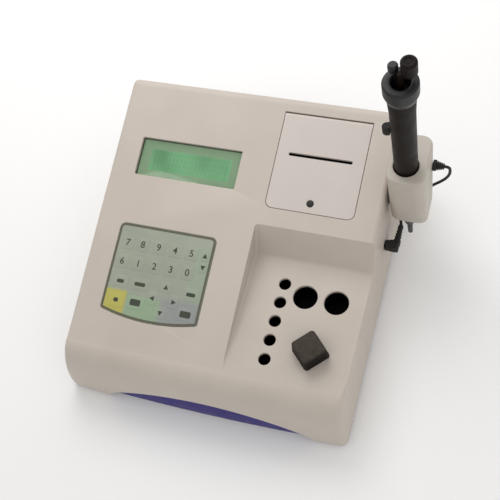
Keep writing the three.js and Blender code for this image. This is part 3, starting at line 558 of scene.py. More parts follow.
# It leaves the gland on the holster's side, hangs in a loop behind it and ends in the plug's sleeve.
lead = dict(
    radius=1.3,
    route=[(172.9, 88, 112.5), (174.9, 88, 112.7), (177.2, 88.8, 110), (177.8, 90, 103), (176.8, 91.5, 94),
           (173.5, 94, 82), (168.5, 96, 71), (162, 96.5, 62), (154, 93, 55.5), (145, 82, 52.5),
           (137.8, 72, 50), (138.5, 66, 48), (140, 59.5, 45.3)])


# Smooth route through the points: each span is a centripetal Catmull-Rom curve.
def smoothRoute(points, perSpan=6):
    points = np.asarray(points, float)
    whole = np.vstack([2 * points[0] - points[1], points, 2 * points[-1] - points[-2]])
    route = []
    for p0, p1, p2, p3 in zip(whole, whole[1:], whole[2:], whole[3:]):
        knots = np.cumsum([0] + [math.sqrt(np.linalg.norm(b - a)) for a, b in ((p0, p1), (p1, p2), (p2, p3))])
        for t in np.linspace(knots[1], knots[2], perSpan, endpoint=False):
            a1, a2, a3 = [((knots[i + 1] - t) * a + (t - knots[i]) * b) / (knots[i + 1] - knots[i])
                          for i, (a, b) in enumerate(((p0, p1), (p1, p2), (p2, p3)))]
            b1 = ((knots[2] - t) * a1 + (t - knots[0]) * a2) / (knots[2] - knots[0])
            b2 = ((knots[3] - t) * a2 + (t - knots[1]) * a3) / (knots[3] - knots[1])
            route.append(((knots[2] - t) * b1 + (t - knots[1]) * b2) / (knots[2] - knots[1]))
    return np.array(route + [points[-1]])


def makeLead():
    route = toFrame(smoothRoute(lead["route"]))
    curve = bpy.data.curves.new("lead_cable", "CURVE")
    curve.dimensions = "3D"
    curve.bevel_depth = lead["radius"] * millimetre
    curve.bevel_resolution = 5
    curve.use_fill_caps = True
    line = curve.splines.new("POLY")
    line.points.add(len(route) - 1)
    line.points.foreach_set("co", np.column_stack([route, np.ones(len(route))]).ravel())
    line.use_smooth = True
    piece = bpy.data.objects.new("lead_cable", curve)
    scene.collection.objects.link(piece)
    finishPiece(piece, "black_rubber", "analyser", "lead")
    length = float(np.linalg.norm(np.diff(route, axis=0), axis=1).sum())
    return piece, route[0], length


leadPiece, leadExit, leadLength = makeLead()
print("lead, metres:", round(leadLength, 4))

gland = dict(y=88, z=112.5, start=163.8, end=173.4, radius=4.8, neck=4.0, tip=2.4, ribs=4)


# Strain relief: a nut-like base and a tapering ribbed sleeve.
def makeGland():
    g = gland
    base = g["start"] + 3
    corners = [(0, g["start"], 0), (g["radius"], g["start"], 0.3), (g["radius"], base, 0.4)]
    pitch = (g["end"] - base) / g["ribs"]
    for i in range(g["ribs"]):
        share = i / g["ribs"]
        x = base + (g["end"] - base) * share
        outer = g["neck"] + (g["tip"] - g["neck"]) * share
        corners += [(outer - 0.7, x + 0.1, 0.1), (outer - 0.7, x + 0.35 * pitch, 0.1),
                    (outer, x + 0.45 * pitch, 0.15), (outer, x + 0.95 * pitch, 0.15)]
    corners += [(g["tip"] * 0.8, g["end"], 0.2), (0, g["end"], 0)]
    return turned("lead_strain_relief", corners, place=lambda rows: alongX(rows, g["y"], g["z"]))


reliefPiece = finishPiece(makeGland(), "black_rubber", "analyser", "lead_gland")

plug = dict(start=130.2, end=141.7, y=40, z=41.5, radius=5, sleeveEnd=(138.5, 42, 38.5), barrel=1.7,
            barrelFrom=119, block=(-4.4, 4.6, -4.4, 4.6, 1.6))


# Right-angle plug: a rounded body against the socket, and a tapering sleeve towards the lead.
def makePlug():
    p = plug
    block = blockRows(rectangle(*p["block"]), p["start"] + 2.6, p["end"], 1.2, 1.4)
    body = skin("lead_angle_plug", alongX(block, p["y"], p["z"]))

    def place(rows):
        return alongX(rows, p["y"], p["z"])

    combine(body, bar("collar", p["radius"], p["start"], p["end"] - 3, 0.4, 0.8, place=place), "UNION")
    barrel = bar("barrel", p["barrel"], p["barrelFrom"], p["start"] + 1, 0.5, sides=32, place=place)
    combine(body, barrel, "UNION")
    last = np.array(lead["route"][-1], float)
    way = np.array(p["sleeveEnd"]) - last
    length = np.linalg.norm(way)
    rotation = Vector(way).to_track_quat("Z", "Y").to_matrix()
    corners = [(0, -0.6, 0), (2.1, -0.6, 0.3)]
    for i in range(4):
        share = 0.12 + 0.14 * i
        radius = 2.3 + 1.3 * share
        groove = radius - 0.5
        corners += [(radius, share * length, 0.2), (radius, (share + 0.08) * length, 0.2),
                    (groove, (share + 0.09) * length, 0.1), (groove, (share + 0.135) * length, 0.1)]
    corners += [(3.4, 0.72 * length, 0.2), (3.6, length, 0.3), (0, length, 0)]
    sleeve = turned("sleeve", corners, sides=40, place=lambda rows: rows @ np.array(rotation).T + last)
    combine(body, sleeve, "UNION")
    return soften(body, 0.25)


plugPiece = finishPiece(makePlug(), "black_rubber", "analyser", "lead_plug")
print("plug and strain relief")


casing = dict(
    width=256, depth=276, wall=3, underside=4, floorHeight=60, shoulderSet=28, frontBase=8,
    flare=4, bow=4, edgeRound=4, cornerRound=6, backRound=9)


# Side outline of the casing in (y, z), outward normals, and the rounding radius at each point.
def sideOutline(grow, bottom):
    c = casing
    back = c["depth"] / 2 - grow
    shoulder = c["shoulderSet"] - c["depth"] / 2
    drop = grow / math.cos(slope)

    def height(y):
        return c["floorHeight"] + (y - shoulder) * math.tan(slope) - drop

    upward = np.linspace(bottom, height(back) - c["backRound"], 6)
    t = np.linspace(0, 1, 9)[1:, None]
    corner = np.array([back, height(back)])
    first = np.array([back, height(back) - c["backRound"]])
    last = np.array([back - c["backRound"], height(back - c["backRound"])])
    bend = (1 - t) ** 2 * first + 2 * t * (1 - t) * corner + t ** 2 * last
    across = np.linspace(back - c["backRound"], shoulder, 14)[1:-1]
    angles = np.linspace(math.pi / 2, math.pi, 27)
    front = np.stack([shoulder + (c["shoulderSet"] - grow) * np.cos(angles),
                      c["frontBase"] + (height(shoulder) - c["frontBase"]) * np.sin(angles)], axis=1)
    down = np.linspace(c["frontBase"], bottom, 3)[1:]
    outline = np.vstack([
        np.stack([np.full(6, back), upward], axis=1), bend,
        np.stack([across, height(across)], axis=1), front,
        np.stack([np.full(2, shoulder - c["shoulderSet"] + grow), down], axis=1)])
    step = np.gradient(outline, axis=0)
    normal = np.stack([step[:, 1], -step[:, 0]], axis=1)
    normal /= np.linalg.norm(normal, axis=1)[:, None]
    normal[[0, -1]] = [[1, 0], [-1, 0]]
    steepness = np.abs(normal[:, 0])
    radius = c["edgeRound"] + (c["cornerRound"] - c["edgeRound"]) * steepness ** 2 - min(grow, 3)
    return outline, normal, radius


# Leans the side walls out below the floor height and swells the front forward at its middle.
def swell(points):
    c = casing
    x, y, z = np.moveaxis(points, -1, 0)
    half = c["width"] / 2
    lean = c["flare"] * np.maximum(0, c["floorHeight"] - z) / (c["floorHeight"] - c["underside"])
    setBack = np.maximum(0, c["shoulderSet"] - c["depth"] / 2 - y) / c["shoulderSet"]
    forward = c["bow"] * np.maximum(0, 1 - (x / half) ** 2) * setBack
    return np.stack([x * (1 + lean / half), y - forward, z], axis=-1)


# The casing's outside as one block, moved in by grow, and standing on bottom.
def caseBlock(name, grow, bottom):
    outline, normal, radius = sideOutline(grow, bottom)
    half = casing["width"] / 2 - grow
    angles = np.linspace(0, math.pi / 2, 8)
    rows = []
    for a in angles:
        ring = outline - normal * (radius * (1 - math.sin(a)))[:, None]
        rows.append(np.column_stack([-half + radius * (1 - math.cos(a)), ring]))
    endPart = 12
    between = np.linspace(endPart - half, half - endPart, 27)
    inner = [np.column_stack([np.full(len(outline), x), outline]) for x in between]
    mirrored = [row * [-1, 1, 1] for row in reversed(rows)]
    block = skin(name, np.array(rows + inner + mirrored))
    solid = bmesh.new()
    solid.from_mesh(block.data)
    everything = solid.verts[:] + solid.edges[:] + solid.faces[:]
    level = casing["floorHeight"] * millimetre
    bmesh.ops.bisect_plane(solid, geom=everything, dist=1e-7, plane_co=(0, 0, level), plane_no=(0, 0, 1))
    points = np.array([v.co for v in solid.verts]) / millimetre - [caseShift, 0, 0]
    for v, place in zip(solid.verts, toFrame(swell(points))):
        v.co = place
    solid.to_mesh(block.data)
    solid.free()
    return block


recess = dict(left=20.5, back=1.7, wallTilt=57, cornerRound=2.5, footRound=4)


# Space of the lowered tube area, grown by a margin where the wall below follows it.
def recessCutter(margin):
    r = recess
    tilt = math.radians(r["wallTilt"])
    floor = casing["floorHeight"] - margin
    foot = r["back"] + margin * math.tan(tilt / 2)
    above, front, right = 80, -190, 180
    outline = rounded([(front, floor, 0), (foot, floor, r["footRound"]),
                       (foot + above / math.tan(tilt), floor + above, 0), (front, floor + above, 0)])
    return skin("recess", alongX(blockRows(outline, r["left"] - margin, right, r["cornerRound"])))


# Cutter for an opening in the panel, with a rounded lip that widens at the surface.
def panelCutter(outline, depth, lip=0.5):
    stations = [(0, -depth)] + [(-out, -down) for out, down in lipCurve(lip, 4)] + [(-lip, 4)]
    rows = [atHeight(inset(outline, d), n) for d, n in stations]
    return skin("opening", onPanel(np.array(rows)))


wells = dict(
    small=dict(radius=5, x=54.3, y=-21.65, pitch=17.67, count=5),
    large=dict(radius=10.5, y=-30.3, xs=(75, 102.9)),
    cell=dict(radius=8, x=92, y=-78.7), margin=0.4, lip=0.7)


def wellPlaces():
    s, g, c = wells["small"], wells["large"], wells["cell"]
    places = [(s["x"], s["y"] - i * s["pitch"], s["radius"]) for i in range(s["count"])]
    places += [(x, g["y"], g["radius"]) for x in g["xs"]]
    return places + [(c["x"], c["y"], c["radius"])]


# Upright hole through the lowered floor, with a rounded lip.
def wellCutter(x, y, radius):
    floor = casing["floorHeight"]
    lip = wells["lip"]
    lipLine = [(radius + out, floor - down) for out, down in lipCurve(lip, 5)]
    line = [(0, 50), (radius, 50)] + lipLine + [(radius + lip, floor + 8), (0, floor + 8)]
    return skin("well", turnedRows(line, x, y, 56), filled=False)


display = dict(width=97, height=36, x=-54.8, down=76, corner=1.2)
keypad = dict(width=92.5, x=-56.75, top=140.9, straight=79.7, bulge=6, corner=5)
cover = dict(x=65, width=80, top=15.3, length=89.4, thickness=3, corner=6, gap=0.5, hingeRadius=3,
             slotDown=53.8, slotWidth=58, slotHeight=3, latchX=64.8, latchDown=96.0, latchRadius=2.8)


def displayOutline(margin=0.0):
    d = display
    return centred(d["x"], -d["down"], d["width"] / 2 + margin, d["height"] / 2 + margin, d["corner"])


# Keypad outline: straight top and sides, and a lower edge that bows downwards.
def keypadOutline(margin=0.0):
    k = keypad
    half = k["width"] / 2
    low = -k["top"] - k["straight"]
    t = np.linspace(0.04, 0.96, 23)[:, None]
    left, middle, right = np.array([-half, low]), np.array([0, low - 2 * k["bulge"]]), np.array([half, low])
    bow = (1 - t) ** 2 * left + 2 * t * (1 - t) * middle + t ** 2 * right
    start = rounded([(-half, -k["top"], 0), (-half, low, 2.5), tuple(bow[1]) + (0,)], closed=False)[1:-1]
    end = start[::-1] * [-1, 1]
    top = rounded([(half, low, 0), (half, -k["top"], k["corner"]), (-half, -k["top"], k["corner"]),
                   (-half, low, 0)], closed=False)[1:-1]
    outline = np.vstack([start, bow[2:-2], end, top]) + [k["x"], 0]
    return inset(outline, margin) if margin else outline


def coverOutline(margin=0.0):
    c = cover
    half = c["width"] / 2 + margin
    low, high = -c["top"] - c["length"] - margin, -c["top"] + margin
    corner = c["corner"] + margin
    return rounded([(c["x"] - half, low, corner), (c["x"] + half, low, corner), (c["x"] + half, high, 0.3),
                    (c["x"] - half, high, 0.3)])


rear = dict(x0=-95, x1=95, z0=14, z1=70, rim=3, arch=dict(halfSpan=97, rise=32, x=6, reach=(-154, -114)))


def makeUpperCase():
    shell = combine(caseBlock("case_upper_shell", 0, casing["underside"]), recessCutter(0))
    combine(shell, combine(caseBlock("inside", casing["wall"], -1), recessCutter(casing["wall"])))
    r = rear
    rim = rectangle(r["x0"] - r["rim"], r["x1"] + r["rim"], r["z0"] - r["rim"], r["z1"] + r["rim"], 2)
    combine(shell, skin("rim", alongY(blockRows(rim, 132.6, 136.5))), "UNION")
    opening = rectangle(r["x0"], r["x1"], r["z0"], r["z1"], 1.5)
    combine(shell, skin("rear", alongY(blockRows(opening, 125, 150))))
    a = r["arch"]
    angles = np.linspace(0, math.pi, 49)
    heights = casing["underside"] + a["rise"] * np.sin(angles)
    curve = np.stack([a["halfSpan"] * np.cos(angles), heights], axis=1)
    archOutline = np.vstack([curve, [[-a["halfSpan"], -5], [a["halfSpan"], -5]]])
    combine(shell, skin("arch", alongY(blockRows(archOutline, *a["reach"]), x=a["x"])))
    for x, y, radius in wellPlaces():
        combine(shell, wellCutter(x, y, radius + wells["margin"]))
    combine(shell, panelCutter(displayOutline(), 8))
    combine(shell, panelCutter(keypadOutline(-0.35), 1.6, 0.3))
    combine(shell, panelCutter(coverOutline(cover["gap"]), 8, 0.35))
    for side in (-1, 1):
        x = cover["x"] + side * (cover["width"] / 2 + 2.4)
        lug = blockRows(rectangle(x - 2, x + 2, -cover["top"] - 7, -cover["top"] + 1, 0.8), -7, -1)
        combine(shell, skin("lug", onPanel(lug)), "UNION")
    socketHole = turnedRows([(0, 120), (4.8, 120), (4.8, 140), (0, 140)])
    combine(shell, skin("socket", alongX(socketHole, plug["y"], plug["z"]), filled=False))
    return soften(shell, 0.6)


finishPiece(makeUpperCase(), "case_plastic", "analyser", "upper_case")
print("upper case")


def slab(name, outline, z0, z1, edge=0.3, place=None):
    rows = blockRows(outline, z0, z1, edge, edge)
    return skin(name, rows if place is None else place(rows))


tray = dict(inset=3.5, wall=2.4, floor=3, frontTop=44, sideTop=16, frontDepth=-118, rearClear=127,
            holeRadius=3.8, holeX=(-117, 117), holeY=(-92, 124))


# Violet tray: a floor with low sides, and a high front wall that shows under the case's arch.
def makeTray():
    t = tray
    low, floor = casing["underside"], casing["underside"] + t["floor"]
    piece = caseBlock("base_tray_shell", t["inset"], low)
    far = 160
    combine(piece, skin("above", blockRows(centred(0, 0, far, far, 1), t["frontTop"], far)))
    behind = rectangle(-far, far, t["frontDepth"], far, 1)
    combine(piece, skin("aboveSides", blockRows(behind, t["sideTop"], far)))
    combine(piece, caseBlock("inside", t["inset"] + t["wall"], floor))
    combine(piece, skin("rearRoom", blockRows(rectangle(-140, 140, t["rearClear"], far, 1), floor, 60)))
    for x in t["holeX"]:
        for y in t["holeY"]:
            combine(piece, bar("screwHole", t["holeRadius"], 0, 6.6, x=x, y=y, sides=32))
    return soften(piece, 0.5)


finishPiece(makeTray(), "tray_plastic", "analyser", "base_tray")
print("tray")

feet = dict(x=104, y=112, radius=6.4, top=7.4, height=3.7)


# Rubber foot with a shallow hollow below, widening upwards, and a stem that holds it in the tray.
def makeFeet():
    f = feet
    for i, (side, end) in enumerate([(-1, -1), (-1, 1), (1, -1), (1, 1)]):
        corners = [(0, 0.5, 0), (3.2, 0.4, 0.3), (3.8, 0, 0.3), (f["radius"], 0, 0.8),
                   (f["top"], f["height"], 0.5), (2.5, f["height"], 0.2), (2.5, 8.4, 0.3), (0, 8.4, 0)]
        piece = turned(f"foot_pad_{i + 1}", corners, side * f["x"], end * f["y"], 48)
        finishPiece(piece, "black_rubber", "analyser", f"rubber_foot_{i + 1}")


makeFeet()


lcd = dict(window=(-5, -3.3), panel=(-8.5, -5.6), activeWidth=78, activeHeight=20.5, activeX=-54,
           activeDown=77, columns=20, lines=4, cellWidth=3.0, cellHeight=4.4,
           columnGap=0.65, lineGap=0.5)


def makeDisplay():
    d = lcd
    window = slab("display_glazing", displayOutline(3), *d["window"], edge=0.3, place=onPanel)
    finishPiece(window, "clear_window", "analyser", "display_window")
    base = slab("display_surround", displayOutline(-0.4), d["panel"][0], d["panel"][1] - 0.12, place=onPanel)
    finishPiece(base, "lcd_green", "analyser", "lcd_panel")
    top = d["panel"][1]
    glass = centred(d["activeX"], -d["activeDown"], d["activeWidth"] / 2, d["activeHeight"] / 2, 1.5)
    green = liquidCrystal("LCD glass, lit green", "6aa379", "8fcb9e", 0.4)
    lit = slab("display_lit_area", glass, top - 0.4, top, 0.15, onPanel)
    finishPiece(lit, "lcd_green", "analyser", material=green)
    stacks = []
    for line in range(d["lines"]):
        for column in range(d["columns"]):
            cx = d["activeX"] + (column - (d["columns"] - 1) / 2) * (d["cellWidth"] + d["columnGap"])
            cy = -d["activeDown"] - (line - (d["lines"] - 1) / 2) * (d["cellHeight"] + d["lineGap"])
            cell = centred(cx, cy, d["cellWidth"] / 2, d["cellHeight"] / 2, 0.3, 2)
            stacks.append(onPanel(blockRows(cell, top + 0.01, top + 0.06)))
    cells = liquidCrystal("LCD cells, unlit", "619a70", "84c094", 0.4)
    finishPiece(skin("display_cells", *stacks), "lcd_green", "analyser", material=cells)


makeDisplay()
print("display")


# Distance down the panel of a place that lies at y when seen from above.
def planDown(y):
    return (138 - y) / math.cos(slope)


# Keys: rows as (y, height, places along X with what is printed there), and single keys as
# (x, y, width, height, what is printed).
keyRows = [
    (-17.3, 12.4, [(-92, "7"), (-77.4, "8"), (-61.8, "9"), (-46, "4"), (-30.4, "5")]),
    (-34.5, 12.4, [(-93.2, "6"), (-77.5, "1"), (-61.8, "2"), (-46, "3"), (-30.3, "0")]),
]
otherKeys = [
    (-90, -52.2, 15, 11, "bar"), (-71, -52.2, 17, 11, "wide"), (-46.2, -50.5, 12, 10, "up"),
    (-22.1, -52.8, 14, 12, "return"), (-90, -69.2, 15, 13, "dot"), (-71.3, -68.6, 17, 12, "block"),
    (-56.7, -62, 9.5, 12, "left"), (-36.3, -62, 9.5, 12, "right"), (-46.3, -73.4, 12, 10, "down"),
    (-23, -70.4, 17, 12, "block"), (-17.5, -17.4, 7, 9.5, "up"), (-17.3, -27.6, 7, 9.5, "down")]


def allKeys():
    keys = [(x, y, 12.2, height, mark) for y, height, row in keyRows for x, mark in row] + otherKeys
    return [(x, planDown(y), width, height, mark) for x, y, width, height, mark in keys]


# Small arrowhead on its key, pointing one way.
def arrowOutline(x, down, way, size=2.6):
    turn = math.radians({"right": 0, "up": 90, "left": 180, "down": 270}[way])
    corners = np.array([[size, 0], [-0.7 * size, 0.9 * size], [-0.7 * size, -0.9 * size]])
    rotation = np.array([[math.cos(turn), -math.sin(turn)], [math.sin(turn), math.cos(turn)]])
    placed = corners @ rotation.T + [x, -down]
    return rounded([(px, py, 0.3) for px, py in placed], steps=3)


# Tinted areas of the film, each within its edges: an axis, where the tint starts and where it is full.
printedAreas = [
    ("9aa592", ("Y", -10, -11), ("X", -27, -24)),
    ("949795", ("Y", -56, -64), ("X", -66, -34)),
    ("94aa8c", ("Y", -61, -65), ("X", -82, -79), ("X", -45, -52)),
    ("b9b35c", ("Y", -58.5, -61.5), ("X", -79.5, -82.5))]


# Printed film: pale green with a yellow corner key, a green band and a grey corner.
def keypadFilm():
    material, tree, surface, place = newMaterial("Polyester film, printed", Roughness=0.42)
    split = addNode(tree, "ShaderNodeSeparateXYZ", links={"Vector": place})

    def beyond(axis, start, end):
        offset = caseShift if axis == "X" else 0
        settings = {"From Min": (start + offset) * millimetre, "From Max": (end + offset) * millimetre,
                    "interpolation_type": "SMOOTHSTEP"}
        return addNode(tree, "ShaderNodeMapRange", settings, {"Value": split.outputs[axis]}).outputs[0]

    slow = mapTo(tree, noise(tree, place, 25), 0, 1)
    colour = mixColours(tree, slow, "989f90", "a0a596")
    for tint, *edges in printedAreas:
        shares = [beyond(*edge) for edge in edges]
        area = shares[0]
        for share in shares[1:]:
            area = addNode(tree, "ShaderNodeMath", {"operation": "MULTIPLY"}, {0: area, 1: share}).outputs[0]
        colour = mixColours(tree, area, colour, tint)
    feed(tree, surface, "Base Color", colour)
    addBump(tree, surface, noise(tree, place, 0.3), 0.006)
    return material


inkLook = dict(
    colour="474d41", second="40463b", worn="4a5044", roughness=0.5, grain=0.3, relief=0.004, shine=0.3)
markSizes = dict(bar=(3.4, 1.7), wide=(5.2, 1.7), dot=(2.2, 1.9), block=(5.0, 2.9))
markSizes["return"] = (4.2, 1.7)
# A dark olive band, 2.2 mm wide, just inside the film's edge.
edgeBandLook = dict(
    colour="605f50", second="585748", worn="605f50", roughness=0.5, grain=0.3, relief=0.004)


# One digit, printed flat on its key.
def digitShape(text, x, down, size=8.6):
    data = bpy.data.curves.new("digit", "FONT")
    data.body = text
    data.size = size * millimetre
    data.align_x = "CENTER"
    data.align_y = "CENTER"
    data.extrude = 0.02 * millimetre
    data.offset = 0.11 * millimetre
    holder = bpy.data.objects.new("digit", data)
    scene.collection.objects.link(holder)
    graph = bpy.context.evaluated_depsgraph_get()
    mesh = bpy.data.meshes.new_from_object(holder.evaluated_get(graph))
    flat = np.zeros(len(mesh.vertices) * 3)
    mesh.vertices.foreach_get("co", flat)
    points = flat.reshape(-1, 3) / millimetre + [x, -down, 0]
    faces = [list(face.vertices) for face in mesh.polygons]
    bpy.data.objects.remove(holder)
    bpy.data.meshes.remove(mesh)
    return points, faces


def makeKeypad():
    k = keypad
    surfaceAt = 0.3
    keyTop = surfaceAt + 0.2
    film = keypadFilm()
    stacks = [onPanel(blockRows(keypadOutline(), -0.5, surfaceAt, 0.1, 0.15))]
    finishPiece(skin("keypad_film", *stacks), "keypad_film", "analyser", "keypad_overlay", material=film)
    pads = []
    for x, down, width, height, mark in allKeys():
        pad = centred(x, -down, width / 2, height / 2, 1.6, 4)
        pads.append(onPanel(blockRows(pad, surfaceAt - 0.1, keyTop, 0, 0.3)))
    finishPiece(skin("keypad_pads", *pads), "keypad_film", "analyser", material=film)
    # A darker olive band along the inside of the film's edge.
    borderWidth = 2.2
    outer, inner = keypadOutline(0.2), keypadOutline(borderWidth)
    low, high = surfaceAt - 0.02, surfaceAt + 0.05
    section = ((outer, low), (outer, high), (inner, high), (inner, low), (outer, low))
    ring = np.array([atHeight(line, n) for line, n in section])
    border = skin("keypad_border", onPanel(ring), filled=False)
    finishPiece(border, "keypad_film", "analyser", material=moulded("Olive band, film edge", edgeBandLook))
    points, faces = [], []
    for x, down, width, height, mark in allKeys():
        if len(mark) == 1:
            shape, sides = digitShape(mark, x, down)
            shape[:, 2] += keyTop + 0.02
        else:
            plain = mark in markSizes
            outline = centred(x, -down, *markSizes[mark], 1.2, 3) if plain else arrowOutline(x, down, mark)
            rows = blockRows(outline, keyTop, keyTop + 0.04)
            shape, sides = rows.reshape(-1, 3), skinFaces(rows)
        faces += [[i + len(points) for i in side] for side in sides]
        points += shape.tolist()
    legends = meshObject("keypad_legends", onPanel(np.array(points)), faces)
    finishPiece(legends, "keypad_film", "analyser", material=moulded("Ink, dark green", inkLook))


makeKeypad()
print("keypad")


def makeCover():
    c = cover
    plate = slab("printer_cover_plate", coverOutline(), -c["thickness"], 0, 0.4, onPanel)
    start = -c["top"] - c["hingeRadius"]
    left, right, radius = c["x"] - c["width"] / 2, c["x"] + c["width"] / 2, c["hingeRadius"]
    barrel = turnedRows([(0, left), (radius, left), (radius, right), (0, right)], sides=40)
    hinge = onPanel(alongX(barrel, start, -c["hingeRadius"]))
    notch = rectangle(c["x"] - 60, c["x"] + 60, start, start + 10, 0.1)
    combine(plate, skin("notch", onPanel(blockRows(notch, -10, 5))))
    combine(plate, skin("hinge", hinge, filled=False), "UNION")
    inner = c["width"] / 2 - 2
    skirt = [rectangle(c["x"] - inner + grow, c["x"] + inner - grow, -c["top"] - c["length"] + 2 + grow,
                       start - 6 - grow, 3) for grow in (0, 2)]
    rim = skin("rim", onPanel(blockRows(skirt[0], -6, -c["thickness"] + 0.5)))
    combine(rim, skin("room", onPanel(blockRows(skirt[1], -8, 1))))
    combine(plate, rim, "UNION")
    slot = centred(c["x"], -c["slotDown"], c["slotWidth"] / 2, c["slotHeight"] / 2, 1.2)
    combine(plate, panelCutter(slot, 8, 0.5))
    inside, mouth = c["latchRadius"] + 0.35, c["latchRadius"] + 0.75
    profile = [(0, -8), (inside, -8), (inside, -0.4), (mouth, 0), (mouth, 3), (0, 3)]
    hole = turnedRows(profile, c["latchX"], -c["latchDown"], 40)
    combine(plate, skin("hole", onPanel(hole), filled=False))
    return soften(plate, 0.3)


# A lighter copy of the casing plastic: a painted highlight on the cover.
litCoverMaterial = moulded("ABS, printer cover", litCoverLook)
finishPiece(makeCover(), "case_plastic", "printer_cover", "printer_cover", material=litCoverMaterial)
latch = [(0, 0.9, 0), (2.8, 0.9, 0.6), (2.8, -3.3, 0.1), (4, -3.3, 0.2), (4, -4.6, 0.2), (1.6, -4.6, 0.2),
         (1.6, -9, 0.3), (0, -9, 0)]
latchPiece = turned("cover_latch_cap", latch, cover["latchX"], -cover["latchDown"], 48, onPanel)
finishPiece(latchPiece, "black_plastic", "cover_latch", "cover_latch_button")
print("printer cover")


cap = dict(x=92, y=-78.7, half=12.6, corner=3.4, base=60.3, top=76.5, taper=0.88, stubRadius=5.4,
           stubBottom=50, ribPitch=3.1, ribDepth=0.9, ribTop=71)


# Adds points along an outline's long sides.
def subdivide(outline, longest):
    points = []
    for here, after in zip(outline, np.roll(outline, -1, axis=0)):
        count = max(1, math.ceil(np.linalg.norm(after - here) / longest))
        points += [here + (after - here) * i / count for i in range(count)]
    return np.array(points)


# Grooves the flat sides in a cosine wave, which fades towards the corners and the top.
def ribbed(rows, c):
    height = rows[..., 2]
    level = np.clip((c["ribTop"] - height) / 1.5, 0, 1) * np.clip((height - c["base"]) / 0.8, 0, 1)
    reach = c["half"] - c["corner"]
    result = rows.copy()
    for along, across in ((0, 1), (1, 0)):
        share = np.clip((reach - np.abs(rows[..., along])) / 1.5, 0, 1)
        wave = (1 - np.cos(2 * math.pi * rows[..., along] / c["ribPitch"])) / 2
        side = np.sign(rows[..., across]) * (np.abs(rows[..., across]) > reach)
        result[..., across] -= side * share * wave * level * c["ribDepth"]
    return result


# Square light-tight cap, narrower at its top, stood at an eighth of a turn, with a stub below.
def makeCap():
    c = cap
    outline = subdivide(centred(0, 0, c["half"], c["half"], c["corner"], 8), 0.4)
    rows = blockRows(outline, c["base"], c["top"], 0.6, 1.8, 8)
    stepRows = np.linspace(0, 1, 16)[1:-1, None, None]
    rows = np.concatenate([rows[:9], rows[8] + (rows[9] - rows[8]) * stepRows, rows[9:]])
    rows = ribbed(rows, c)
    rows[..., :2] *= 1 + (c["taper"] - 1) * (rows[..., 2:] - c["base"]) / (c["top"] - c["base"])
    piece = skin("measuring_cap_shell", turnAndMove(rows, math.radians(45), c["x"], c["y"]))
    stub = bar("stub", c["stubRadius"], c["stubBottom"], c["base"] + 1.7, 0.8, x=c["x"], y=c["y"], sides=48)
    combine(piece, stub, "UNION")
    piece.data.set_sharp_from_angle(angle=math.radians(40))
    return piece


capMaterial = litTopPlastic("ABS, dark brown cap", capLook)
finishPiece(makeCap(), "charcoal_plastic", "measuring_cap", "measuring_cap", material=capMaterial)
print("measuring cap")


holster = dict(x0=131.5, x1=163.5, y0=51, y1=99, lowY0=57, lowY1=90, bottom=60, top=141, corner=9,
               axisX=146, axisY=68, pocket=10.6, pocketFloor=99.7, through=8.2)


def makeHolster():
    h = holster
    outline = rectangle(h["x0"], h["x1"], h["y0"], h["y1"], h["corner"], 10)
    rows = blockRows(outline, h["bottom"], h["top"], 1.5, 2.2, 5)
    share = (h["top"] - rows[..., 2]) / (h["top"] - h["bottom"])
    middle, lowMiddle = (h["y0"] + h["y1"]) / 2, (h["lowY0"] + h["lowY1"]) / 2
    narrow = (h["lowY1"] - h["lowY0"]) / (h["y1"] - h["y0"])
    fromMiddle = rows[..., 1] - middle
    rows[..., 1] = middle + (lowMiddle - middle) * share + fromMiddle * (1 + (narrow - 1) * share)
    piece = skin("holster_body", rows)
    x, y, lip = h["axisX"], h["axisY"], 0.8
    mouth = [(h["pocket"] + out, h["top"] - down) for out, down in lipCurve(lip, 5)]
    floor, above = h["pocketFloor"], h["top"] + 9
    pocket = [(0, floor), (h["pocket"], floor)] + mouth + [(h["pocket"] + lip, above), (0, above)]
    combine(piece, skin("pocket", turnedRows(pocket, x, y), filled=False))
    combine(piece, bar("through", h["through"], h["bottom"] - 10, floor + 10.3, x=x, y=y))
    return soften(piece, 0.5)


finishPiece(makeHolster(), "holster_plastic", "analyser", "holster")
print("holster")

pipette = dict(x=146, y=68, bottom=100, handleTop=240, collarTop=259, restFrom=187.5, restTo=197)


# Turned parts of the pipette, above and below, as (name, sides, profile, finish, body, plain solid).
def turnedParts():
    low, top, head = pipette["bottom"], pipette["handleTop"], pipette["collarTop"]
    joint, floor = top + 0.3, low + 4
    seat = joint + 5
    upper = [
        ("pipette_grip", 72, [
            (4.4, low, 0.3), (9.6, low, 1.2), (10.2, top - 18, 40), (11.2, top, 0.3), (8, top, 0.3),
            (8, floor, 0.5), (4.4, floor, 0.3)], "charcoal_plastic", "pipette", "pipette_handle"),
        ("pipette_head", 72, [
            (0, joint, 0), (11.4, joint, 0.4), (13.6, joint + 7, 3), (13.6, head, 2.0), (7.3, head, 1.2),
            (7.3, seat, 0.8), (2.6, seat, 0.2), (2.6, seat - 0.7, 0), (0, seat - 0.7, 0)],
         "grey_plastic", "pipette", "pipette_collar")]
    lower = [
        ("pipette_tip_cone", 48, [
            (0.9, 20, 0.2), (2.2, 20, 0.3), (2.9, 50, 2), (4, 62, 2), (4, 110, 0.4), (2.2, 110, 0.2),
            (2.2, 66, 0.2), (0.9, 66, 0.2)], "grey_plastic", "pipette", "pipette_shaft"),
        ("ejector_tube", 56, [
            (3.3, 42, 0.2), (4.8, 42, 0.4), (6.2, 58, 3), (6.2, 94, 0.3), (7.2, 95, 0.3),
            (7.2, 99.2, 0.4), (4.4, 99.2, 0.3), (4.4, 60, 1)], "grey_plastic", "ejector", "ejector_sleeve")]
    return upper, lower


def finishTurned(parts):
    for name, sides, profile, slotName, body, solid in parts:
        finishPiece(turned(name, profile, pipette["x"], pipette["y"], sides), slotName, body, solid)


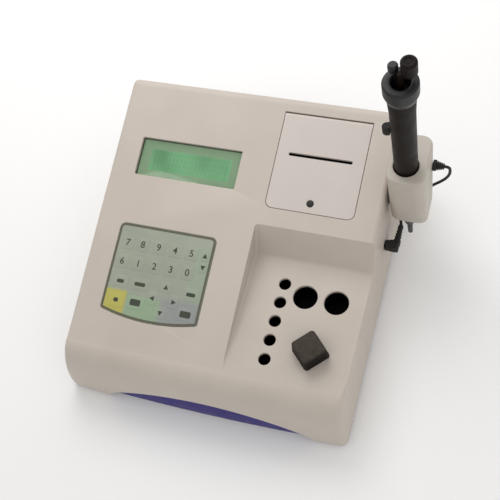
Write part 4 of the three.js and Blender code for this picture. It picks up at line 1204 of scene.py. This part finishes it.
def pipettePlunger():
    x, y = pipette["x"] + 6, pipette["y"] + 3
    corners = [(0, 266, 0), (5.2, 266, 0.5), (6.2, 268, 0.8), (6.2, 280.4, 1.8), (3.6, 280.4, 0.8),
               (2.6, 279.7, 0.4), (0, 279.7, 0)]
    piece = turned("plunger_knob", corners, x, y, 56)
    onAxis = [("stem", 2.2, 164, 269), ("flange", 3.9, 160.3, 164.5), ("rod", 1.7, 80, 161.3)]
    for name, radius, z0, z1 in onAxis:
        part = bar(name, radius, z0, z1, 0.4, 0.4, x=pipette["x"], y=pipette["y"], sides=32)
        combine(piece, part, "UNION")
    return soften(piece, 0.15)


def pipetteEjector():
    x, y = pipette["x"], pipette["y"]
    corners = [(0, 265, 0), (3.3, 265, 0.3), (3.9, 266.5, 0.6), (3.9, 272.4, 1.6), (0, 272.4, 0)]
    piece = turned("ejector_knob", corners, x - 5.8, y + 4.2, 48)
    rod = bar("rod", 1.1, 99.6, 267, 0.2, x=x - 4.5, y=y + 3.4, sides=24)
    return soften(combine(piece, rod, "UNION"), 0.15)


def fingerRest():
    p = pipette
    outline = centred(0, 0, 4.6, 3.8, 3.6, 8)
    rows = blockRows(outline, p["restFrom"], p["restTo"], 1.5, 1.5, 5)
    turn = 0.3
    piece = skin("pipette_finger_rest", turnAndMove(rows, turn, p["x"] - 12.5, p["y"] + 1))
    combine(piece, bar("clear", 10.7, p["restFrom"] - 1, p["restTo"] + 1, x=p["x"], y=p["y"], sides=72))
    return soften(piece, 0.3)


spring = dict(radius=2.9, wire=0.45, turns=8, low=110.75, high=159.55, seat=110.3, pressed=0.878)


# Coil spring: a round wire along a helix from its low end to its high end.
def plungerSpring():
    p = spring
    angles = np.linspace(0, 2 * math.pi * p["turns"], p["turns"] * 28 + 1)
    rise = (p["high"] - p["low"]) / angles[-1]
    outward = np.stack([np.cos(angles), np.sin(angles), np.zeros(len(angles))], axis=1)
    sideways = np.stack([-np.sin(angles), np.cos(angles), np.zeros(len(angles))], axis=1)
    along = sideways * p["radius"] + [0, 0, rise]
    along /= np.linalg.norm(along, axis=1)[:, None]
    across = np.cross(outward, along)
    middle = outward * p["radius"] + [pipette["x"], pipette["y"], p["low"]]
    middle[:, 2] += rise * angles
    turn = np.linspace(0, 2 * math.pi, 10, endpoint=False)[None, :, None]
    rows = middle[:, None] + p["wire"] * (np.cos(turn) * outward[:, None] + np.sin(turn) * across[:, None])
    piece = finishPiece(skin("plunger_coil_spring", rows), "steel", "pipette", "plunger_spring")
    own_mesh(piece)


upperParts, lowerParts = turnedParts()
finishTurned(upperParts)
finishPiece(pipettePlunger(), "charcoal_plastic", "plunger", "plunger")
finishPiece(pipetteEjector(), "grey_plastic", "ejector", "ejector_button")
finishPiece(fingerRest(), "black_rubber", "pipette", "finger_rest")
finishTurned(lowerParts)
plungerSpring()
print("pipette")


rearPlate = dict(x0=-103, x1=103, y0=130.2, y1=132.2, z0=8, z1=76, gap=0.3, vents=7, ventPitch=5, ventX=-16,
                 ventWidth=2.2, ventLow=24, ventHigh=58, cut=(125, 140),
                 screws=((-88, 22), (-88, 62), (88, 22), (88, 62)))
inlet = dict(x=-68, z=34, halfX=13.5, halfZ=10, cavityX=11.5, cavityZ=7.5, blades=((-7, -2), (7, -2), (0, 4)))
switch = dict(x=-36, z=34, halfX=7.5, halfZ=11, openX=5.6, openZ=9.2, axisY=129, tilt=8,
              rockerHalf=5)
serial = dict(x=46, z=34, halfX=9.2, halfZ=4.6, front=137.6, pinPitch=2.75, shell=(8.2, 7.0, 4.1),
              jackX=12.5)


# Block on the rear wall, centred at (x, z), from y0 to y1.
def rearBlock(name, x, z, halfX, halfZ, y0, y1, corner=1.0, edge=0.0):
    return skin(name, alongY(blockRows(centred(x, z, halfX, halfZ, corner), y0, y1, edge, edge)))


# Sheet-metal plate with the connector openings, a row of upright vents and four screw heads.
def makeRearPanel():
    r = rearPlate
    sheet = rectangle(r["x0"], r["x1"], r["z0"], r["z1"], 2)
    plate = skin("rear_panel_plate", alongY(blockRows(sheet, r["y0"], r["y1"])))
    for part in (inlet, switch, serial):
        halfX, halfZ = part["halfX"] + r["gap"], part["halfZ"] + r["gap"]
        combine(plate, rearBlock("opening", part["x"], part["z"], halfX, halfZ, *r["cut"], 0.5))
    for i in range(r["vents"]):
        x = r["ventX"] + i * r["ventPitch"]
        half = r["ventWidth"] / 2
        outline = rectangle(x - half, x + half, r["ventLow"], r["ventHigh"], half * 0.95)
        combine(plate, skin("vent", alongY(blockRows(outline, *r["cut"]))))
    finishPiece(soften(plate, 0.2), "steel", "analyser", "rear_panel")
    stacks = []
    for x, z in r["screws"]:
        head = [(0, r["y1"]), (3, r["y1"]), (3, r["y1"] + 0.7), (2.3, r["y1"] + 1.5), (1.2, r["y1"] + 1.8),
                (0.9, r["y1"] + 1.1), (0, r["y1"] + 1.1)]
        stacks.append(alongY(turnedRows(head, x, z, 24)))
    finishPiece(skin("rear_screw_heads", *stacks, filled=False), "steel", "analyser")
    low, high = r["ventX"] - 6, r["ventX"] + (r["vents"] - 1) * r["ventPitch"] + 6
    foam = rectangle(low, high, r["ventLow"] - 5, r["ventHigh"] + 5, 2)
    pad = skin("vent_foam", alongY(blockRows(foam, 126.9, 129.9, 0.5, 0.5)))
    finishPiece(pad, "black_rubber", "analyser")


# Mains inlet: a flanged shroud round three flat blades.
def makeInlet():
    p = inlet
    body = rearBlock("mains_inlet_shroud", p["x"], p["z"], p["halfX"], p["halfZ"], 112, 134, 1.5)
    flange = rearBlock("flange", p["x"], p["z"], p["halfX"] + 2, p["halfZ"] + 2, 132.5, 134.5, 2.5)
    combine(body, flange, "UNION")
    combine(body, rearBlock("cavity", p["x"], p["z"], p["cavityX"], p["cavityZ"], 119, 140, 2.5))
    finishPiece(soften(body, 0.4), "black_plastic", "analyser", "power_inlet")
    blades = []
    for x, z in p["blades"]:
        outline = centred(p["x"] + x, p["z"] + z, 1, 2, 0.3, 2)
        blades.append(alongY(blockRows(outline, 118, 131, 0, 0.5)))
    finishPiece(skin("mains_inlet_blades", *blades), "steel", "analyser")


# Rocker switch: a flanged frame, and a rocker with a shallow hollow across its face.
def makeSwitch():
    p = switch
    frameBody = rearBlock("switch_surround", p["x"], p["z"], p["halfX"], p["halfZ"], 118, 134, 1)
    flange = rearBlock("flange", p["x"], p["z"], p["halfX"] + 1.5, p["halfZ"] + 1.5, 132.5, 134, 1.8)
    combine(frameBody, flange, "UNION")
    combine(frameBody, rearBlock("opening", p["x"], p["z"], p["openX"], p["openZ"], 123, 140, 0.6))
    finishPiece(soften(frameBody, 0.3), "black_plastic", "analyser", "switch_frame")
    profile = rounded([(-4, -2.5, 0.4), (1.5, -8, 0.5), (3.6, -8.2, 0.5), (2.4, 0, 12), (3.6, 8.2, 0.5),
                       (1.5, 8, 0.5), (-4, 2.5, 0.4)])
    tilt = math.radians(p["tilt"])
    tilted = profile @ np.array([[math.cos(tilt), math.sin(tilt)], [-math.sin(tilt), math.cos(tilt)]])
    rows = blockRows(tilted, p["x"] - p["rockerHalf"], p["x"] + p["rockerHalf"], 0.4, 0.4)
    rocker = skin("rocker_cap", alongX(rows, p["axisY"], p["z"]))
    finishPiece(rocker, "black_rubber", "switch_rocker", "switch_rocker")


# Nine-way socket: a flange, a D-shaped metal shell, an insulator with its holes, and two jack screws.
def makeSerial():
    p = serial
    x, z = p["x"], p["z"]

    def shellRows(grow, y0, y1):
        top, low, high = [size + grow for size in p["shell"]]
        outline = rounded([(x - low, z - high, 1.2), (x + low, z - high, 1.2), (x + top, z + high, 1.2),
                           (x - top, z + high, 1.2)])
        return alongY(blockRows(outline, y0, y1))

    shell = skin("serial_shell", shellRows(0, 123.6, p["front"]))
    combine(shell, rearBlock("flange", x, z, 15.4, 6.2, 132.5, 133.5, 1.5), "UNION")
    combine(shell, skin("inside", shellRows(-0.5, 134, 140)))
    nuts = []
    for side in (-1, 1):
        nut = [(0, 133), (2.9, 133), (2.9, 136.2), (2.5, 136.7), (1.3, 136.7), (1.3, 134.5), (0, 134.5)]
        nuts.append(alongY(turnedRows(nut, x + side * p["jackX"], z, 6)))
    finishPiece(soften(shell, 0.15), "steel", "analyser", "serial_port")
    finishPiece(skin("serial_jack_screws", *nuts, filled=False, smooth=25), "steel", "analyser")
    insulator = skin("serial_insulator", shellRows(-0.7, 133.8, p["front"] - 0.6))
    for count, rise in ((5, 1.4), (4, -1.4)):
        for i in range(count):
            hole = turnedRows([(0, 135), (0.55, 135), (0.55, 139), (0, 139)],
                              x + (i - (count - 1) / 2) * p["pinPitch"], z + rise, 12)
            combine(insulator, skin("hole", alongY(hole), filled=False))
    finishPiece(insulator, "black_plastic", "analyser")


makeRearPanel()
makeInlet()
makeSwitch()
makeSerial()
print("rear connections")


studio = dict(
    floorReach=3000, surroundings=(1, 0.99, 0.975, 1), brightness=0.66,
    lights=[("key", (-250, 520, 760), 600, 3.0), ("fill", (800, -500, 700), 900, 0.8),
            ("rim", (200, 900, 700), 700, 0.8)])


def stageAndLight():
    reach = studio["floorReach"]
    floor = skin("floor", blockRows(centred(0, 0, reach, reach, 50), -40, 0))
    material, tree, surface, place = newMaterial("Pale paper sweep", Roughness=0.9)
    shade = mixColours(tree, noise(tree, place, 400), "ffffff", "fcfcfc")
    feed(tree, surface, "Base Color", shade)
    floor.data.materials.append(material)
    world = bpy.data.worlds.new("studio")
    world.use_nodes = True
    sky = world.node_tree.nodes["Background"].inputs
    sky["Color"].default_value = studio["surroundings"]
    sky["Strength"].default_value = studio["brightness"]
    scene.world = world
    for name, place, size, power in studio["lights"]:
        data = bpy.data.lights.new(name, "AREA")
        data.shape = "DISK"
        data.size = size * millimetre
        data.energy = power
        holder = bpy.data.objects.new(name, data)
        scene.collection.objects.link(holder)
        position = Vector(toFrame([place])[0])
        holder.location = position
        holder.rotation_euler = (-position).to_track_quat("-Z", "Y").to_euler()
    scene.view_settings.view_transform = "Standard"


stageAndLight()

# Pieces whose solid shape is already right keep it, and take a finish.
carriedOver = {
    "steel": ["display_bezel", "case_screw_1", "case_screw_2", "case_screw_3",
              "case_screw_4", "cover_hinge_pin", "feed_motor", "print_head", "stirrer_motor", "stirrer_rotor",
              "holster_bracket"],
    "black_plastic": ["printer_cradle", "cell_housing", "side_socket", "cell_sensor"],
    "black_rubber": ["platen_roller"],
    "board_green": ["main_board", "display_board"],
    "amber_film": ["keypad_circuit", "heater_pad"],
    "paper_white": ["paper_roll"],
    "white_nylon": ["platen_gear"],
    "brass": ["feed_pinion"],
    "supply_metal": ["power_supply"],
    "block_aluminium": ["heating_block"],
    "lens_glass": ["cell_lamp"],
}
for slotName, names in carriedOver.items():
    for name in names:
        materials = nodes[name].data.materials
        materials.clear()
        materials.append(finishes[slotName])
print("size")
